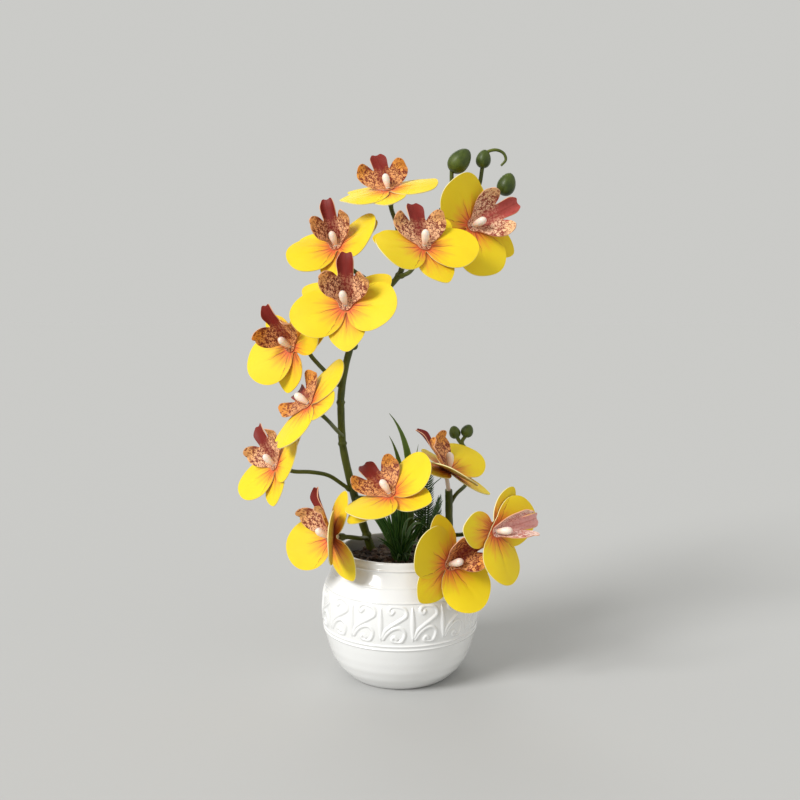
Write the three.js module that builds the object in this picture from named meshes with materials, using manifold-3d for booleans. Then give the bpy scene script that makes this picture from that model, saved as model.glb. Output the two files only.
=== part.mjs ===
// Potted orchid: a moth orchid with thirteen yellow blooms on two green spikes, a grass tuft and
// three small fern fronds, set in bark and a planting core inside a white glazed ceramic pot.
// Millimetres, +Z up. The origin is the centre of the pot's flat underside; -Y is the front.
import * as THREE from 'three';
import { mergeVertices } from 'three/addons/utils/BufferGeometryUtils.js';
import Module from 'manifold-3d';

const wasm = await Module();
wasm.setup();

// ---------------------------------------------------------------- driving dimensions
const GAP = 0.3; // clearance between pieces that touch

// Pot: outer radius at key heights, walls and raised rings
const POT_PROFILE = [
  [0, 35.2], [1, 36.6], [5, 41.4], [10, 45.4], [16, 48.8], [23, 51.3], [30, 53.1], [36, 54.3],
  [44, 55.0], [52, 55.1], [60, 54.4], [68, 52.2], [75, 49.4], [81, 46.4], [85, 44.7], [90, 44.0],
];
const POT_COLUMNS = 32;
const BAND_DENSITY = 3; // columns in the scroll band for each column elsewhere
const POT_FLOOR = 5;
const WALL_BELOW = [0, 5, 14, 25]; // heights of the plain wall's rows under the beads
const WALL_ABOVE = [72, 78]; // and above the scroll band
const RIM = [[90, 43.9], [91, 42.6], [90.4, 41]]; // rounded lip, outside to inside
const INSIDE = [[74, 46.2], [50, 51.5], [20, 46.8], [5, 35.5]]; // from the rim down to the floor
const RING_RISE = 0.7; // height of the turned beads above the wall
const BEAD_HALF = 1.1; // half width of a bead
const BEADS = [34.6, 37.4, 66.4, 85.8]; // heights of the turned beads
const BAND_BOTTOM = 40.2;
const BAND_TOP = 64.6;
const BAND_UNITS = 16; // scroll motifs round the pot
const BAND_ROWS = 4;
const BAND_START = -103.5; // angle of the first spindle, degrees from +X
const RELIEF_RISE = 1.1; // height of the raised scrolls
const SCROLL_HALF = 2.1; // half width of a scroll's line at its foot
const SPINDLE_HALF = 1.9;

// Fill: bark on top of a firm core that grips the stems
const CORE_ROWS = [[5.3, 35], [20, 46.2], [50, 50.9], [73.5, 45.7]]; // height and radius
const BARK_LEVEL = 83;
const BARK_ROWS = [[73.8, 45.5], [81, 42], [83, 34], [83, 23], [83, 11]];
const BARK_ROUGHNESS = 1.7;
const BARK_SEED = 5;
const FILL_COLUMNS = 24;
const HOLE_LEAD = 0.02; // a spike's hole starts this share of a span below its foot
const HOLE_OVER = 3; // and a core's hole goes on this far above the core
const HOLE_SIDES = 12;

// Bloom: a sheet of two round petals over a sheet of three sepals, with a lip and a column
const SHEET = 0.8; // thickness of a petal, sepal or lip
const HOLE_RADIUS = 1.8; // hole that the column's stalk passes through
const STALK_RADIUS = 1.5;
const HUB_RADIUS = 4.5; // flat middle of every sheet
const INNER_HUB = 3.8; // the same beside the lip and between two lobes
const FOLD_START = 4; // distance from the centre where the lobes begin to fold
const VALLEY_RADIUS = 5.5; // the sheet's edge between the two petals
const PETAL_CENTRE = 20;
const PETAL_RADIUS = 18.5;
const PETAL_HALF_ANGLE = 67; // a petal's half width as seen from the bloom's centre, degrees
const PETAL_POINTS = 8; // points round the edge of a petal
const SEPAL_POINTS = 7;
const SEPAL_ROOT = 3; // distance from the centre to a sepal's near end
const SEPALS = [
  { turn: -90, length: 33, width: 26 },
  { turn: 30, length: 35, width: 22 },
  { turn: 150, length: 35, width: 22 },
];
const SEPAL_RISE = 0.02; // how far the sepals climb forward for each millimetre outwards
const LOBE_SWEEP = 150; // how far round its own centre a lobe's edge is drawn, degrees
const LIP_FOLD = 3.5; // where the side lobes fold up, to each side of the middle
const LIP_BEND = 3; // where the lip leaves the flower's plane
// the lip's half outline: angle from its middle line, and distance from the centre
const LIP_OUTLINE = [
  [7, 35.4], [12.5, 31], [16.3, 25.4], [25.5, 29], [42, 30], [56, 25], [67, 14], [90, 5],
  [130, 4.6],
];
// layer heights along the flower's axis, from the back sheet to the column
const SEPAL_LAYER = -1.5;
const PETAL_LAYER = -0.4;
const LIP_LAYER = 0.75;
const COLUMN_LAYER = 1.5;
const COLUMN_LEAN = 62; // degrees from the flower's plane
const COLUMN_STATIONS = [[0, 1.8], [6, 2.8], [9.2, 2.38], [11, 1.1]]; // distance and radius
const SOCKET_DISTANCE = 6; // from the bloom's centre back to the mouth of its pedicel
const SOCKET_DEPTH = 4;
const SOCKET_OPEN = 2; // how far past the mouth its hole is cut
const STALK_FRONT = 3; // the stalk's front end, ahead of the bloom's centre
const STALK_BEND = 3.5; // a bent stalk goes straight back this far first
const COLLAR_RADIUS = 2.6;
const COLLAR_LENGTH = 5;
const COLLAR_FLARE = 7; // distance from the mouth where the pedicel begins to swell
const PEDICEL_RADIUS = 1.5;
const SPIKE_SIDES = 6;
const STALK_SIDES = 5; // of pedicels, bud stalks and other thin stems

// Each bloom: centre; pitch, yaw and roll in degrees; lift and droop of the left and right petal;
// size; twist of the sepals; tilt, twist and extra side lift of the lip; fold of the lowest sepal
const BLOOMS = [
  {
    at: [-8, -5, 340], turn: [70, 7, -12], lift: [3, 3], droop: [-17, -14], size: 0.9,
    twist: 10, lip: 40, lipTwist: 2, cup: [-2, -10],
  },
  {
    at: [-43, -10, 302], turn: [45, -11, -16], lift: [19, 25], droop: [-14, -5], size: 0.91,
    twist: 3, lip: 45, lipTwist: -4, cup: [34, 1],
  },
  {
    at: [-35, -43, 263], turn: [30, -11, -7], lift: [12, 16], droop: [-15, -14], size: 0.96,
    twist: -1, lip: 39, lipTwist: -11, cup: [30, 3],
  },
  {
    at: [15.5, -43, 301], turn: [40, 22, -5], lift: [14, 13], droop: [-10, -15], size: 0.93,
    twist: -11, lip: 12, lipTwist: -2, cup: [-5, -6],
  },
  {
    at: [49.7, -5, 316], turn: [23, -1, 66], lift: [32, 18], droop: [-13, -13], size: 0.99,
    twist: -6, lip: 17, lipTwist: 3, cup: [-2, 18],
  },
  {
    at: [-75, -7, 234], turn: [25, -33, -28], lift: [24, 18], droop: [-13, 15], size: 0.95,
    twist: 26, lip: 44, lipTwist: -9, cup: [20, -6],
  },
  {
    at: [-61, -31, 197], turn: [71, 19, -53], lift: [2, 7], droop: [-13, -13], size: 0.96,
    twist: -5, lip: 3, lipTwist: -14, cup: [0, 4],
  },
  {
    at: [-86, -14, 152.5], turn: [56, -35, -42], lift: [20, 11], droop: [-13, -13], size: 0.91,
    twist: 3, lip: 30, lipTwist: 6, cup: [-8, 0],
  },
  {
    at: [-7, -40, 138], turn: [60, 27, -34], lift: [21, 24], droop: [-13, -13], size: 0.94,
    twist: -21, lip: 17, lipTwist: -8, cup: [-6, -6],
  },
  {
    at: [-47, -34, 107], turn: [40, -52, -38], lift: [36, 34], droop: [-7, -12], size: 0.98,
    twist: -17, lip: 22, lipTwist: -8, cup: [-8, -8], back: 18,
  },
  {
    at: [34, -5, 148], turn: [63, 81, 1], lift: [18, 27], droop: [-13, -13], size: 1,
    twist: -7, lip: 26, lipTwist: -2, cup: [-6, -5],
  },
  {
    at: [62.2, -61, 118], turn: [46, 4, 82], lift: [12, 24], droop: [88, -11], size: 0.923,
    twist: 20, lip: 22, lipTwist: 0, cup: [36, 60],
  },
  {
    at: [33, -50, 93], turn: [26, 19, 50], lift: [18, 26], droop: [-13, -13], size: 0.95,
    twist: 0, lip: 22, lipTwist: -4, cup: [17, 40],
  },
];
// The eleventh bloom stands on a long bare stalk, whose stem end does not lie on its axis
const LONG_STALK = 10;
const LONG_STALK_MOUTH = [34.5, 4.5, 131];
const LONG_STALK_AXIS = [-0.05, -0.35, 0.93];
const LONG_STALK_BEND = [33, -0.5, 139.5];

// Stems: points up the middle of each, with a radius at each point
const TALL_SPIKE = [
  [-7, 28, 36, 3], [-14, 26, 59, 3], [-21, 24, 82, 3], [-24.5, 23, 93.5, 3], [-28, 22, 105, 3],
  [-36, 18, 135, 2.9], [-41, 14, 161, 2.7], [-41.2, 13.8, 163, 3.2], [-41.4, 13.6, 165, 2.7],
  [-42, 10, 191, 2.6], [-42, 9.9, 193, 3.1], [-42, 9.8, 195, 2.6], [-39, 8, 216, 2.5],
  [-34, 6, 234, 2.4], [-24, 2, 255, 2.2], [-12, -2, 270, 2.1], [-1, -6, 282, 2.1],
  [3, -6, 291, 1.9], [12, -5, 306, 1.8], [23, -3, 319.5, 1.7], [30.5, -1, 330, 1.5],
];
const SHORT_SPIKE = [
  [37, 11, 38, 2.8], [36.5, 10.5, 58, 2.8], [36, 10, 78, 2.8], [35.5, 9, 95, 2.8],
  [35, 8, 112, 2.7], [34.7, 6, 126, 2.7],
];
// Pedicels run from the spike to the back of each bloom, through these points
const TALL_PEDICELS = {
  0: [[2, -6.5, 290], [0, -1, 305], [-3, 2, 319]],
  1: [[-12, -2, 270], [-24, 7, 280], [-34, 4, 287]],
  2: [[-34, 6, 234], [-32, -7, 240], [-31, -20, 248]],
  3: [[-1, -6, 281], [6, -14, 284], [10, -25, 289]],
  4: [[23, -3, 319.5], [35, 3, 316.5]],
  5: [[-42, 10, 204], [-52, 8, 214.5], [-61, 4, 225]],
  6: [[-41, 13.5, 168], [-45, -3, 176]],
  7: [[-35, 19, 127], [-42, 14, 133.5], [-51, 7, 141], [-63, -1, 145]],
  8: [[-33, 20, 122], [-24, 9, 124], [-12, -14, 120]],
  9: [[-24, 23, 91], [-26, 5, 96], [-28, -15, 101]],
};
const SHORT_PEDICELS = {
  11: [[35.5, 9, 97], [44, 3, 99], [51, -10, 105], [51.5, -30, 112]],
  12: [[35.5, 9, 98], [34, -8, 102], [29, -28, 99]],
};
const BUD_STALKS = [
  [[30.5, -1, 329], [34.5, -1, 340], [35, -2, 353]],
  [[30.5, -1, 329], [44, 4, 333.5], [53.5, 6, 342], [56.5, 5, 356]],
  [[44, 4, 333.5], [60, 8, 338], [70, 5, 341.5]],
];
const BUD_STALK_RADIUS = 1.4;
// Buds: centre, half length, half width, lean to the right in degrees
const TALL_BUDS = [
  { at: [40.4, -3, 359], length: 9.3, width: 7, lean: 40 },
  { at: [57, 4, 361], length: 6.3, width: 5.1, lean: 10 },
  { at: [73, 4, 344], length: 8, width: 6.3, lean: 20 },
];
const TENDRIL = [
  [57, 4, 364], [61, 4, 366.4], [66, 4, 367], [70.7, 4, 364.7], [72.2, 4, 360.6], [69, 4, 356.5],
];
const TENDRIL_RADIUS = 1.1;
const EGG_TAPER = 0.18; // how much narrower a bud is towards its tip
const EGG_SIDES = 7;
const EGG_ROWS = 5;
const KNOB = { at: [-32.5, 3.5, 234], length: 3.6, width: 3.2, lean: 0 };
const SHORT_BUD_STALKS = [
  [
    [35, 7.5, 118], [39, 9, 125.5], [48, 22, 131.5], [52.5, 34, 138.5], [52, 39, 146], [48.5, 40, 155],
    [44, 40, 160.5], [42, 40, 164],
  ],
  [[48.5, 40, 154.5], [46, 40, 159.5], [49, 40, 165]],
];
const SHORT_BUDS = [
  { at: [40.5, 40, 167], length: 4.9, width: 4.2, lean: -15 },
  { at: [49.9, 40, 168], length: 5, width: 4.6, lean: 25 },
];

// Grass tuft: a rooted core with arched blades
const TUFT_AT = [1, -3];
const TUFT_CORE = 4;
const TUFT_BLADES = 18;
const TUFT_SEED = 11;
const TUFT_TURN = 137.5; // from each blade to the next, degrees
const TUFT_REACH = [6, 24]; // of the innermost and the outermost blade
const TUFT_RISE = [37, 22];
const TUFT_SPREAD = 0.2; // part of the reach and rise left to chance
const TUFT_KNEE = [0.4, 0.68]; // shares of reach and rise where a blade bends
const TUFT_ROOT = 2; // the blades start this far below the core's top
const BLADE_WIDTH = 3.4;
const BLADE_THICK = 1.1;
const BLADE_STEPS = 4;
const BLADE_TAPER = 0.75; // width lost on the way to the tip
const FERN_SECTOR = [-15, 65]; // the tuft leaves this sector to the fern, degrees
// Tall blades, which face the front: knee and tip
const TALL_BLADES = [
  [[16, -1, 160], [-7.5, 0, 186.5]],
  [[6, 0, 148], [-7.6, 0, 170.5]],
  [[6, 1, 130], [13, 3, 164]],
];

// Fern: fronds with toothed leaflets along a rib, and one thin leaf
const FERN_AT = [18, 8];
const FERN_CORE = 3;
const FROND_PITCHES = 8; // pairs of leaflets
const FROND_HALF = 4; // length of the leaflets at the frond's middle
const FROND_ENDS = 0.6; // and at its two ends
const FROND_ROOT = 0.16; // share of the swelling and narrowing that is over at the foot
const FROND_FULLNESS = 0.6; // lower is fuller towards the ends
const FROND_SLANT = 1.4; // leaflets climb by this many pitches
const FROND_RIB = 1.1;
const RIB_TAPER = 0.6;
const FROND_THICK = 0.8;
// Fronds: knee, tip and the direction that the leaflets spread in
const FRONDS = [
  { knee: [17, 9, 118], tip: [21, 10, 148], across: [1, 0.15, 0] },
  { knee: [12, 16, 112], tip: [11, 24, 138], across: [0.8, 0.6, 0] },
  { knee: [23, 3, 104], tip: [27, -4, 127], across: [0.75, 0.65, 0] },
];
const THIN_LEAF = [[20, 6, 86], [20, 4, 112], [22.5, 1, 134], [29, -1, 141]];
const THIN_LEAF_RADIUS = 0.7;
const CORE_DEPTH = 77; // the tuft's and the fern's cores go down to this height
const CORE_RISE = 87;
const CORE_SIDES = 8;
const MERGE_DISTANCE = 1e-4; // points closer than this are one

const COLOURS = {
  pot: [0xf4f3ef, 0.18, 0],
  core: [0xd9d6c9, 0.95, 0],
  bark: [0x3d2a1f, 0.95, 0],
  stem: [0x4f5c17, 0.5, 0],
  grass: [0x24511d, 0.5, 0],
  fern: [0x1f4420, 0.55, 0],
  petal: [0xf6d21c, 0.6, 0],
  lip: [0x9c3a1e, 0.6, 0],
  column: [0xf2e3d2, 0.45, 0],
};

// ---------------------------------------------------------------- helpers
const rad = THREE.MathUtils.degToRad;

// repeatable random numbers between 0 and 1
function randomFrom(seed) {
  let state = seed;
  return () => {
    state = (state * 1664525 + 1013904223) % 4294967296;
    return state / 4294967296;
  };
}

function meshOf(positions, indices) {
  const geometry = new THREE.BufferGeometry();
  geometry.setAttribute('position', new THREE.Float32BufferAttribute(positions.flat(), 3));
  geometry.setIndex(indices.flat());
  return geometry;
}

function toSolid(geometry) {
  const bare = geometry.clone();
  bare.deleteAttribute('normal');
  bare.deleteAttribute('uv');
  const merged = mergeVertices(bare, MERGE_DISTANCE);
  const solid = new wasm.Mesh({
    numProp: 3,
    vertProperties: new Float32Array(merged.attributes.position.array),
    triVerts: new Uint32Array(merged.index.array),
  });
  solid.merge();
  return new wasm.Manifold(solid);
}

function toGeometry(solid) {
  const mesh = solid.getMesh();
  const geometry = new THREE.BufferGeometry();
  geometry.setAttribute('position', new THREE.BufferAttribute(mesh.vertProperties, 3));
  geometry.setIndex(new THREE.BufferAttribute(mesh.triVerts, 1));
  return geometry;
}

function join(geometries) {
  return geometries.map(toSolid).reduce((whole, piece) => whole.add(piece));
}

// The solid without the pockets that crossing blades can close off
function withoutPockets(solid) {
  return solid.decompose().reduce((best, body) => (body.volume() > best.volume() ? body : best));
}

const model = new THREE.Group();

function addPiece(name, geometry, [colour, roughness, metalness], parent = model) {
  const material = new THREE.MeshStandardMaterial({ color: colour, roughness, metalness });
  const mesh = new THREE.Mesh(geometry, material);
  mesh.name = name;
  parent.add(mesh);
  return mesh;
}

// A closed round bar along a curve, whose radius follows the fourth number of each point
function bar(points, sides, stepsPerSpan) {
  const places = points.map(([x, y, z]) => new THREE.Vector3(x, y, z));
  const curve = new THREE.CatmullRomCurve3(places, false, 'centripetal');
  const spans = points.length - 1;
  const steps = spans * stepsPerSpan;
  const geometry = new THREE.CylinderGeometry(1, 1, 1, sides, steps);
  const frames = [];
  let normal = new THREE.Vector3(1, 0, 0);
  for (let i = 0; i <= steps; i += 1) {
    const t = i / steps;
    const tangent = curve.getTangent(t);
    normal = normal.clone().addScaledVector(tangent, -normal.dot(tangent)).normalize();
    const span = Math.min(Math.floor(t * spans), spans - 1);
    const radius = THREE.MathUtils.lerp(points[span][3], points[span + 1][3], t * spans - span);
    frames.push({ centre: curve.getPoint(t), normal, side: tangent.clone().cross(normal), radius });
  }
  const place = geometry.attributes.position;
  const point = new THREE.Vector3();
  for (let i = 0; i < place.count; i += 1) {
    point.fromBufferAttribute(place, i);
    const frame = frames[Math.round((point.y + 0.5) * steps)];
    const moved = frame.centre.clone()
      .addScaledVector(frame.normal, -point.x * frame.radius)
      .addScaledVector(frame.side, point.z * frame.radius);
    place.setXYZ(i, moved.x, moved.y, moved.z);
  }
  return geometry;
}

function withRadius(points, radius) {
  return points.map((point) => [...point, radius]);
}

// A closed round rod between two points
function rod(from, to, radius, sides) {
  return bar([[...from, radius], [...to, radius]], sides, 1);
}

// An egg with its blunt end down, leaning to the right
function egg({ at, length, width, lean }) {
  const geometry = new THREE.SphereGeometry(1, EGG_SIDES, EGG_ROWS);
  const place = geometry.attributes.position;
  for (let i = 0; i < place.count; i += 1) {
    const along = place.getY(i);
    const taper = 1 - EGG_TAPER * along;
    place.setXYZ(i, place.getX(i) * width * taper, along * length, place.getZ(i) * width * taper);
  }
  geometry.rotateX(Math.PI / 2);
  geometry.rotateY(rad(lean));
  geometry.translate(...at);
  return geometry;
}

// ---------------------------------------------------------------- pot
function profileRadius(z) {
  const last = POT_PROFILE.length - 1;
  for (let i = 0; i < last; i += 1) {
    const [lowZ, lowR] = POT_PROFILE[i];
    const [highZ, highR] = POT_PROFILE[i + 1];
    if (z <= highZ) return THREE.MathUtils.mapLinear(z, lowZ, highZ, lowR, highR);
  }
  return POT_PROFILE[last][1];
}

// Middle lines of the two scrolls of a motif: across (0 to 1) and up (0 to 1)
const UPPER_SCROLL = [
  [0.4, 0.84], [0.3, 0.8], [0.3, 0.96], [0.55, 1], [0.8, 0.84], [0.62, 0.62], [0.36, 0.48], [0.1, 0.2],
];
const LOWER_SCROLL = [
  [0.52, 0.14], [0.4, 0.14], [0.42, 0.02], [0.64, 0.02], [0.76, 0.22], [0.6, 0.4], [0.36, 0.34],
  [0.12, 0.06],
];

function distanceToLine(px, py, line, scaleX, scaleY) {
  let nearest = Infinity;
  for (let i = 0; i < line.length - 1; i += 1) {
    const ax = line[i][0] * scaleX;
    const ay = line[i][1] * scaleY;
    const bx = line[i + 1][0] * scaleX - ax;
    const by = line[i + 1][1] * scaleY - ay;
    const share = ((px - ax) * bx + (py - ay) * by) / (bx * bx + by * by);
    const along = THREE.MathUtils.clamp(share, 0, 1);
    nearest = Math.min(nearest, Math.hypot(px - ax - along * bx, py - ay - along * by));
  }
  return nearest;
}

// Raised scroll band: a spindle between units, and two scrolls in each
function reliefAt(angle, z) {
  const unitAngle = (2 * Math.PI) / BAND_UNITS;
  const turned = (angle - rad(BAND_START)) / unitAngle;
  const across = turned - Math.floor(turned);
  const up = (z - BAND_BOTTOM) / (BAND_TOP - BAND_BOTTOM);
  const unitWidth = unitAngle * profileRadius(z);
  const bandHeight = BAND_TOP - BAND_BOTTOM;
  const fromSpindle = Math.min(across, 1 - across) * unitWidth;
  const spindle = Math.max(0, 1 - fromSpindle / SPINDLE_HALF) * Math.max(0, Math.sin(Math.PI * up));
  const scroll = Math.min(
    distanceToLine(across * unitWidth, up * bandHeight, UPPER_SCROLL, unitWidth, bandHeight),
    distanceToLine(across * unitWidth, up * bandHeight, LOWER_SCROLL, unitWidth, bandHeight),
  );
  return RELIEF_RISE * Math.max(spindle, 1 - scroll / SCROLL_HALF, 0);
}

function potRows() {
  const rows = [];
  const plain = (z, radius) => rows.push({ z, radius, columns: POT_COLUMNS });
  const wall = (z) => plain(z, profileRadius(z));
  const bead = (z) => {
    wall(z - BEAD_HALF);
    plain(z, profileRadius(z) + RING_RISE);
    wall(z + BEAD_HALF);
  };
  WALL_BELOW.forEach(wall);
  wall(BEADS[0] - BEAD_HALF);
  plain(BEADS[0], profileRadius(BEADS[0]) + RING_RISE);
  wall((BEADS[0] + BEADS[1]) / 2);
  plain(BEADS[1], profileRadius(BEADS[1]) + RING_RISE);
  wall(BEADS[1] + BEAD_HALF);
  for (let i = 0; i <= BAND_ROWS; i += 1) {
    const z = THREE.MathUtils.lerp(BAND_BOTTOM, BAND_TOP, i / BAND_ROWS);
    const columns = BAND_DENSITY * POT_COLUMNS;
    rows.push({ z, radius: profileRadius(z), columns, carved: i > 0 && i < BAND_ROWS });
  }
  bead(BEADS[2]);
  WALL_ABOVE.forEach(wall);
  bead(BEADS[3]);
  [...RIM, ...INSIDE].forEach(([z, radius]) => plain(z, radius));
  return rows;
}

// Joins one step of a coarse row to the matching steps of a fine row, whichever is above
function stitch(low, high, i, at, triangles) {
  const [coarse, fine] = low.length < high.length ? [low, high] : [high, low];
  const ratio = fine.length / coarse.length;
  const middle = Math.ceil(ratio / 2);
  const add = (a, b, c) => triangles.push(coarse === low ? [a, b, c] : [a, c, b]);
  for (let j = 0; j < ratio; j += 1) {
    add(at(coarse, j < middle ? i : i + 1), at(fine, ratio * i + j + 1), at(fine, ratio * i + j));
  }
  add(at(coarse, i), at(coarse, i + 1), at(fine, ratio * i + middle));
}

function potGeometry() {
  const points = [[0, 0, 0]];
  const triangles = [];
  const rings = potRows().map(({ z, radius, columns, carved }) => {
    const ring = [];
    for (let i = 0; i < columns; i += 1) {
      const angle = rad(BAND_START) + (2 * Math.PI * i) / columns;
      const reach = radius + (carved ? reliefAt(angle, z) : 0);
      ring.push(points.length);
      points.push([reach * Math.cos(angle), reach * Math.sin(angle), z]);
    }
    return ring;
  });
  const floorCentre = points.length;
  points.push([0, 0, POT_FLOOR]);
  const inmost = rings[rings.length - 1];
  const at = (ring, i) => ring[(i + ring.length) % ring.length];
  for (let i = 0; i < POT_COLUMNS; i += 1) {
    triangles.push([0, at(rings[0], i + 1), at(rings[0], i)]);
    triangles.push([floorCentre, at(inmost, i), at(inmost, i + 1)]);
  }
  for (let row = 0; row < rings.length - 1; row += 1) {
    const low = rings[row];
    const high = rings[row + 1];
    const count = Math.min(low.length, high.length);
    for (let i = 0; i < count; i += 1) {
      if (low.length === high.length) {
        triangles.push([at(low, i), at(low, i + 1), at(high, i)]);
        triangles.push([at(low, i + 1), at(high, i + 1), at(high, i)]);
      } else {
        stitch(low, high, i, at, triangles);
      }
    }
  }
  return meshOf(points, triangles);
}

addPiece('pot', potGeometry(), COLOURS.pot);

// ---------------------------------------------------------------- fill
// Closed round body from rows of [z, radius], bottom first, with an optional height for each point
function turnedBody(rows, heightAt) {
  const points = [[0, 0, rows[0][0]]];
  const triangles = [];
  rows.forEach(([z, radius]) => {
    for (let i = 0; i < FILL_COLUMNS; i += 1) {
      const angle = (2 * Math.PI * i) / FILL_COLUMNS;
      points.push([radius * Math.cos(angle), radius * Math.sin(angle), heightAt ? heightAt(z, radius) : z]);
    }
  });
  points.push([0, 0, rows[rows.length - 1][0]]);
  const at = (row, i) => 1 + row * FILL_COLUMNS + (i % FILL_COLUMNS);
  for (let i = 0; i < FILL_COLUMNS; i += 1) {
    triangles.push([0, at(0, i + 1), at(0, i)]);
    triangles.push([points.length - 1, at(rows.length - 1, i), at(rows.length - 1, i + 1)]);
    for (let row = 0; row < rows.length - 1; row += 1) {
      triangles.push([at(row, i), at(row, i + 1), at(row + 1, i)]);
      triangles.push([at(row, i + 1), at(row + 1, i + 1), at(row + 1, i)]);
    }
  }
  return meshOf(points, triangles);
}

// Holes that the spikes and the cores of tuft and fern stand in
function fillHoles() {
  const spikeHole = (spike) => rod(
    spike[0].slice(0, 3).map((value, i) => value - (spike[1][i] - value) * HOLE_LEAD),
    spike[3].slice(0, 3),
    spike[0][3] + 2 * GAP,
    HOLE_SIDES,
  );
  const coreHole = ([x, y], radius) => rod(
    [x, y, CORE_DEPTH - GAP],
    [x, y, CORE_RISE + HOLE_OVER],
    radius + GAP,
    HOLE_SIDES,
  );
  return [
    spikeHole(TALL_SPIKE),
    spikeHole(SHORT_SPIKE),
    coreHole(TUFT_AT, TUFT_CORE),
    coreHole(FERN_AT, FERN_CORE),
  ].map(toSolid);
}

const holes = fillHoles();
const barkRandom = randomFrom(BARK_SEED);
const barkHeight = (z) => (z < BARK_LEVEL ? z : z + (barkRandom() - 0.5) * 2 * BARK_ROUGHNESS);
const cutHoles = (geometry) => (
  toGeometry(holes.reduce((body, hole) => body.subtract(hole), toSolid(geometry)))
);
addPiece('planting_core', cutHoles(turnedBody(CORE_ROWS)), COLOURS.core);
addPiece('bark', cutHoles(turnedBody(BARK_ROWS, barkHeight)), COLOURS.bark);

// ---------------------------------------------------------------- blooms
// Turns the flower's own axes (x right, y towards the lip, z to the front) to its place
function bloomMatrix({ at, turn: [pitch, yaw, roll], size }) {
  const toFront = new THREE.Matrix4().makeRotationX(Math.PI / 2);
  const turned = new THREE.Matrix4()
    .makeRotationY(rad(roll))
    .multiply(new THREE.Matrix4().makeRotationZ(rad(yaw)))
    .multiply(new THREE.Matrix4().makeRotationX(rad(-pitch)))
    .multiply(toFront);
  return new THREE.Matrix4()
    .makeTranslation(...at)
    .multiply(turned)
    .multiply(new THREE.Matrix4().makeScale(size, size, size));
}

// Folds a lobe forward about a line across its axis: along and across in the lobe's own axes
function foldedPoint(along, across, direction, lift, layer) {
  const past = Math.max(0, along - FOLD_START);
  const reach = along - past + past * Math.cos(rad(lift));
  const angle = rad(direction);
  return new THREE.Vector3(
    reach * Math.cos(angle) - across * Math.sin(angle),
    reach * Math.sin(angle) + across * Math.cos(angle),
    layer + past * Math.sin(rad(lift)),
  );
}

// Edge of one oval lobe, as points round its centre
function lobeEdge(centre, halfLength, halfWidth, count) {
  const edge = [];
  for (let i = 0; i < count; i += 1) {
    const angle = rad(THREE.MathUtils.lerp(-LOBE_SWEEP, LOBE_SWEEP, i / (count - 1)));
    edge.push([centre + halfLength * Math.cos(angle), halfWidth * Math.sin(angle)]);
  }
  return edge;
}

// A closed sheet from spokes: each spoke gives its mid-surface points from the hole outwards
function sheet(spokes) {
  const rings = spokes[0].length;
  const count = spokes.length;
  const middle = new THREE.BufferGeometry();
  const places = spokes.flat().flatMap((p) => p.toArray());
  middle.setAttribute('position', new THREE.Float32BufferAttribute(places, 3));
  const at = (spoke, ring) => (spoke % count) * rings + ring;
  const faces = [];
  for (let i = 0; i < count; i += 1) {
    for (let ring = 0; ring < rings - 1; ring += 1) {
      faces.push([at(i, ring), at(i, ring + 1), at(i + 1, ring + 1)]);
      faces.push([at(i, ring), at(i + 1, ring + 1), at(i + 1, ring)]);
    }
  }
  middle.setIndex(faces.flat());
  middle.computeVertexNormals();
  const total = count * rings;
  const points = [];
  [SHEET / 2, -SHEET / 2].forEach((offset) => {
    for (let i = 0; i < total; i += 1) {
      const point = new THREE.Vector3().fromBufferAttribute(middle.attributes.position, i);
      point.addScaledVector(new THREE.Vector3().fromBufferAttribute(middle.attributes.normal, i), offset);
      points.push(point.toArray());
    }
  });
  const triangles = [...faces, ...faces.map(([a, b, c]) => [c + total, b + total, a + total])];
  for (let i = 0; i < count; i += 1) {
    const inner = [at(i, 0), at(i + 1, 0)];
    const outer = [at(i, rings - 1), at(i + 1, rings - 1)];
    triangles.push([inner[0], inner[1], inner[1] + total], [inner[0], inner[1] + total, inner[0] + total]);
    triangles.push([outer[1], outer[0], outer[0] + total], [outer[1], outer[0] + total, outer[1] + total]);
  }
  return meshOf(points, triangles);
}

function hubPoint(angle, radius, layer) {
  return new THREE.Vector3(radius * Math.cos(angle), radius * Math.sin(angle), layer);
}

function spoke(tip, layer, hub = HUB_RADIUS) {
  const angle = Math.atan2(tip.y, tip.x);
  return [hubPoint(angle, HOLE_RADIUS, layer), hubPoint(angle, hub, layer), tip];
}

function petalsGeometry({ lift, droop }) {
  const edge = lobeEdge(PETAL_CENTRE, PETAL_RADIUS, PETAL_RADIUS, PETAL_POINTS);
  const spokes = [];
  const middle = (droop[1] + 180 - droop[0]) / 2;
  const halfBetween = middle - droop[1];
  const petals = [
    { turn: droop[1], lift: lift[1], inner: 1 },
    { turn: 180 - droop[0], lift: lift[0], inner: -1 },
  ];
  petals.forEach((petal) => {
    // where the two petals would cross, each ends half way between them
    const within = ([along, across]) => petal.inner * Math.atan2(across, along) < rad(halfBetween);
    edge.filter(within).forEach(([along, across]) => {
      const tip = foldedPoint(along, across, petal.turn, petal.lift, PETAL_LAYER);
      spokes.push(spoke(tip, PETAL_LAYER));
    });
  });
  // the hub's edge shows between the petals
  [middle, middle + 180].slice(halfBetween < PETAL_HALF_ANGLE ? 1 : 0).forEach((angle) => {
    spokes.push(spoke(hubPoint(rad(angle), VALLEY_RADIUS, PETAL_LAYER), PETAL_LAYER, INNER_HUB));
  });
  return sheet(sortRound(spokes));
}

function sortRound(spokes) {
  const angleOf = (points) => Math.atan2(points[0].y, points[0].x);
  return spokes.sort((a, b) => angleOf(a) - angleOf(b));
}

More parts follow.
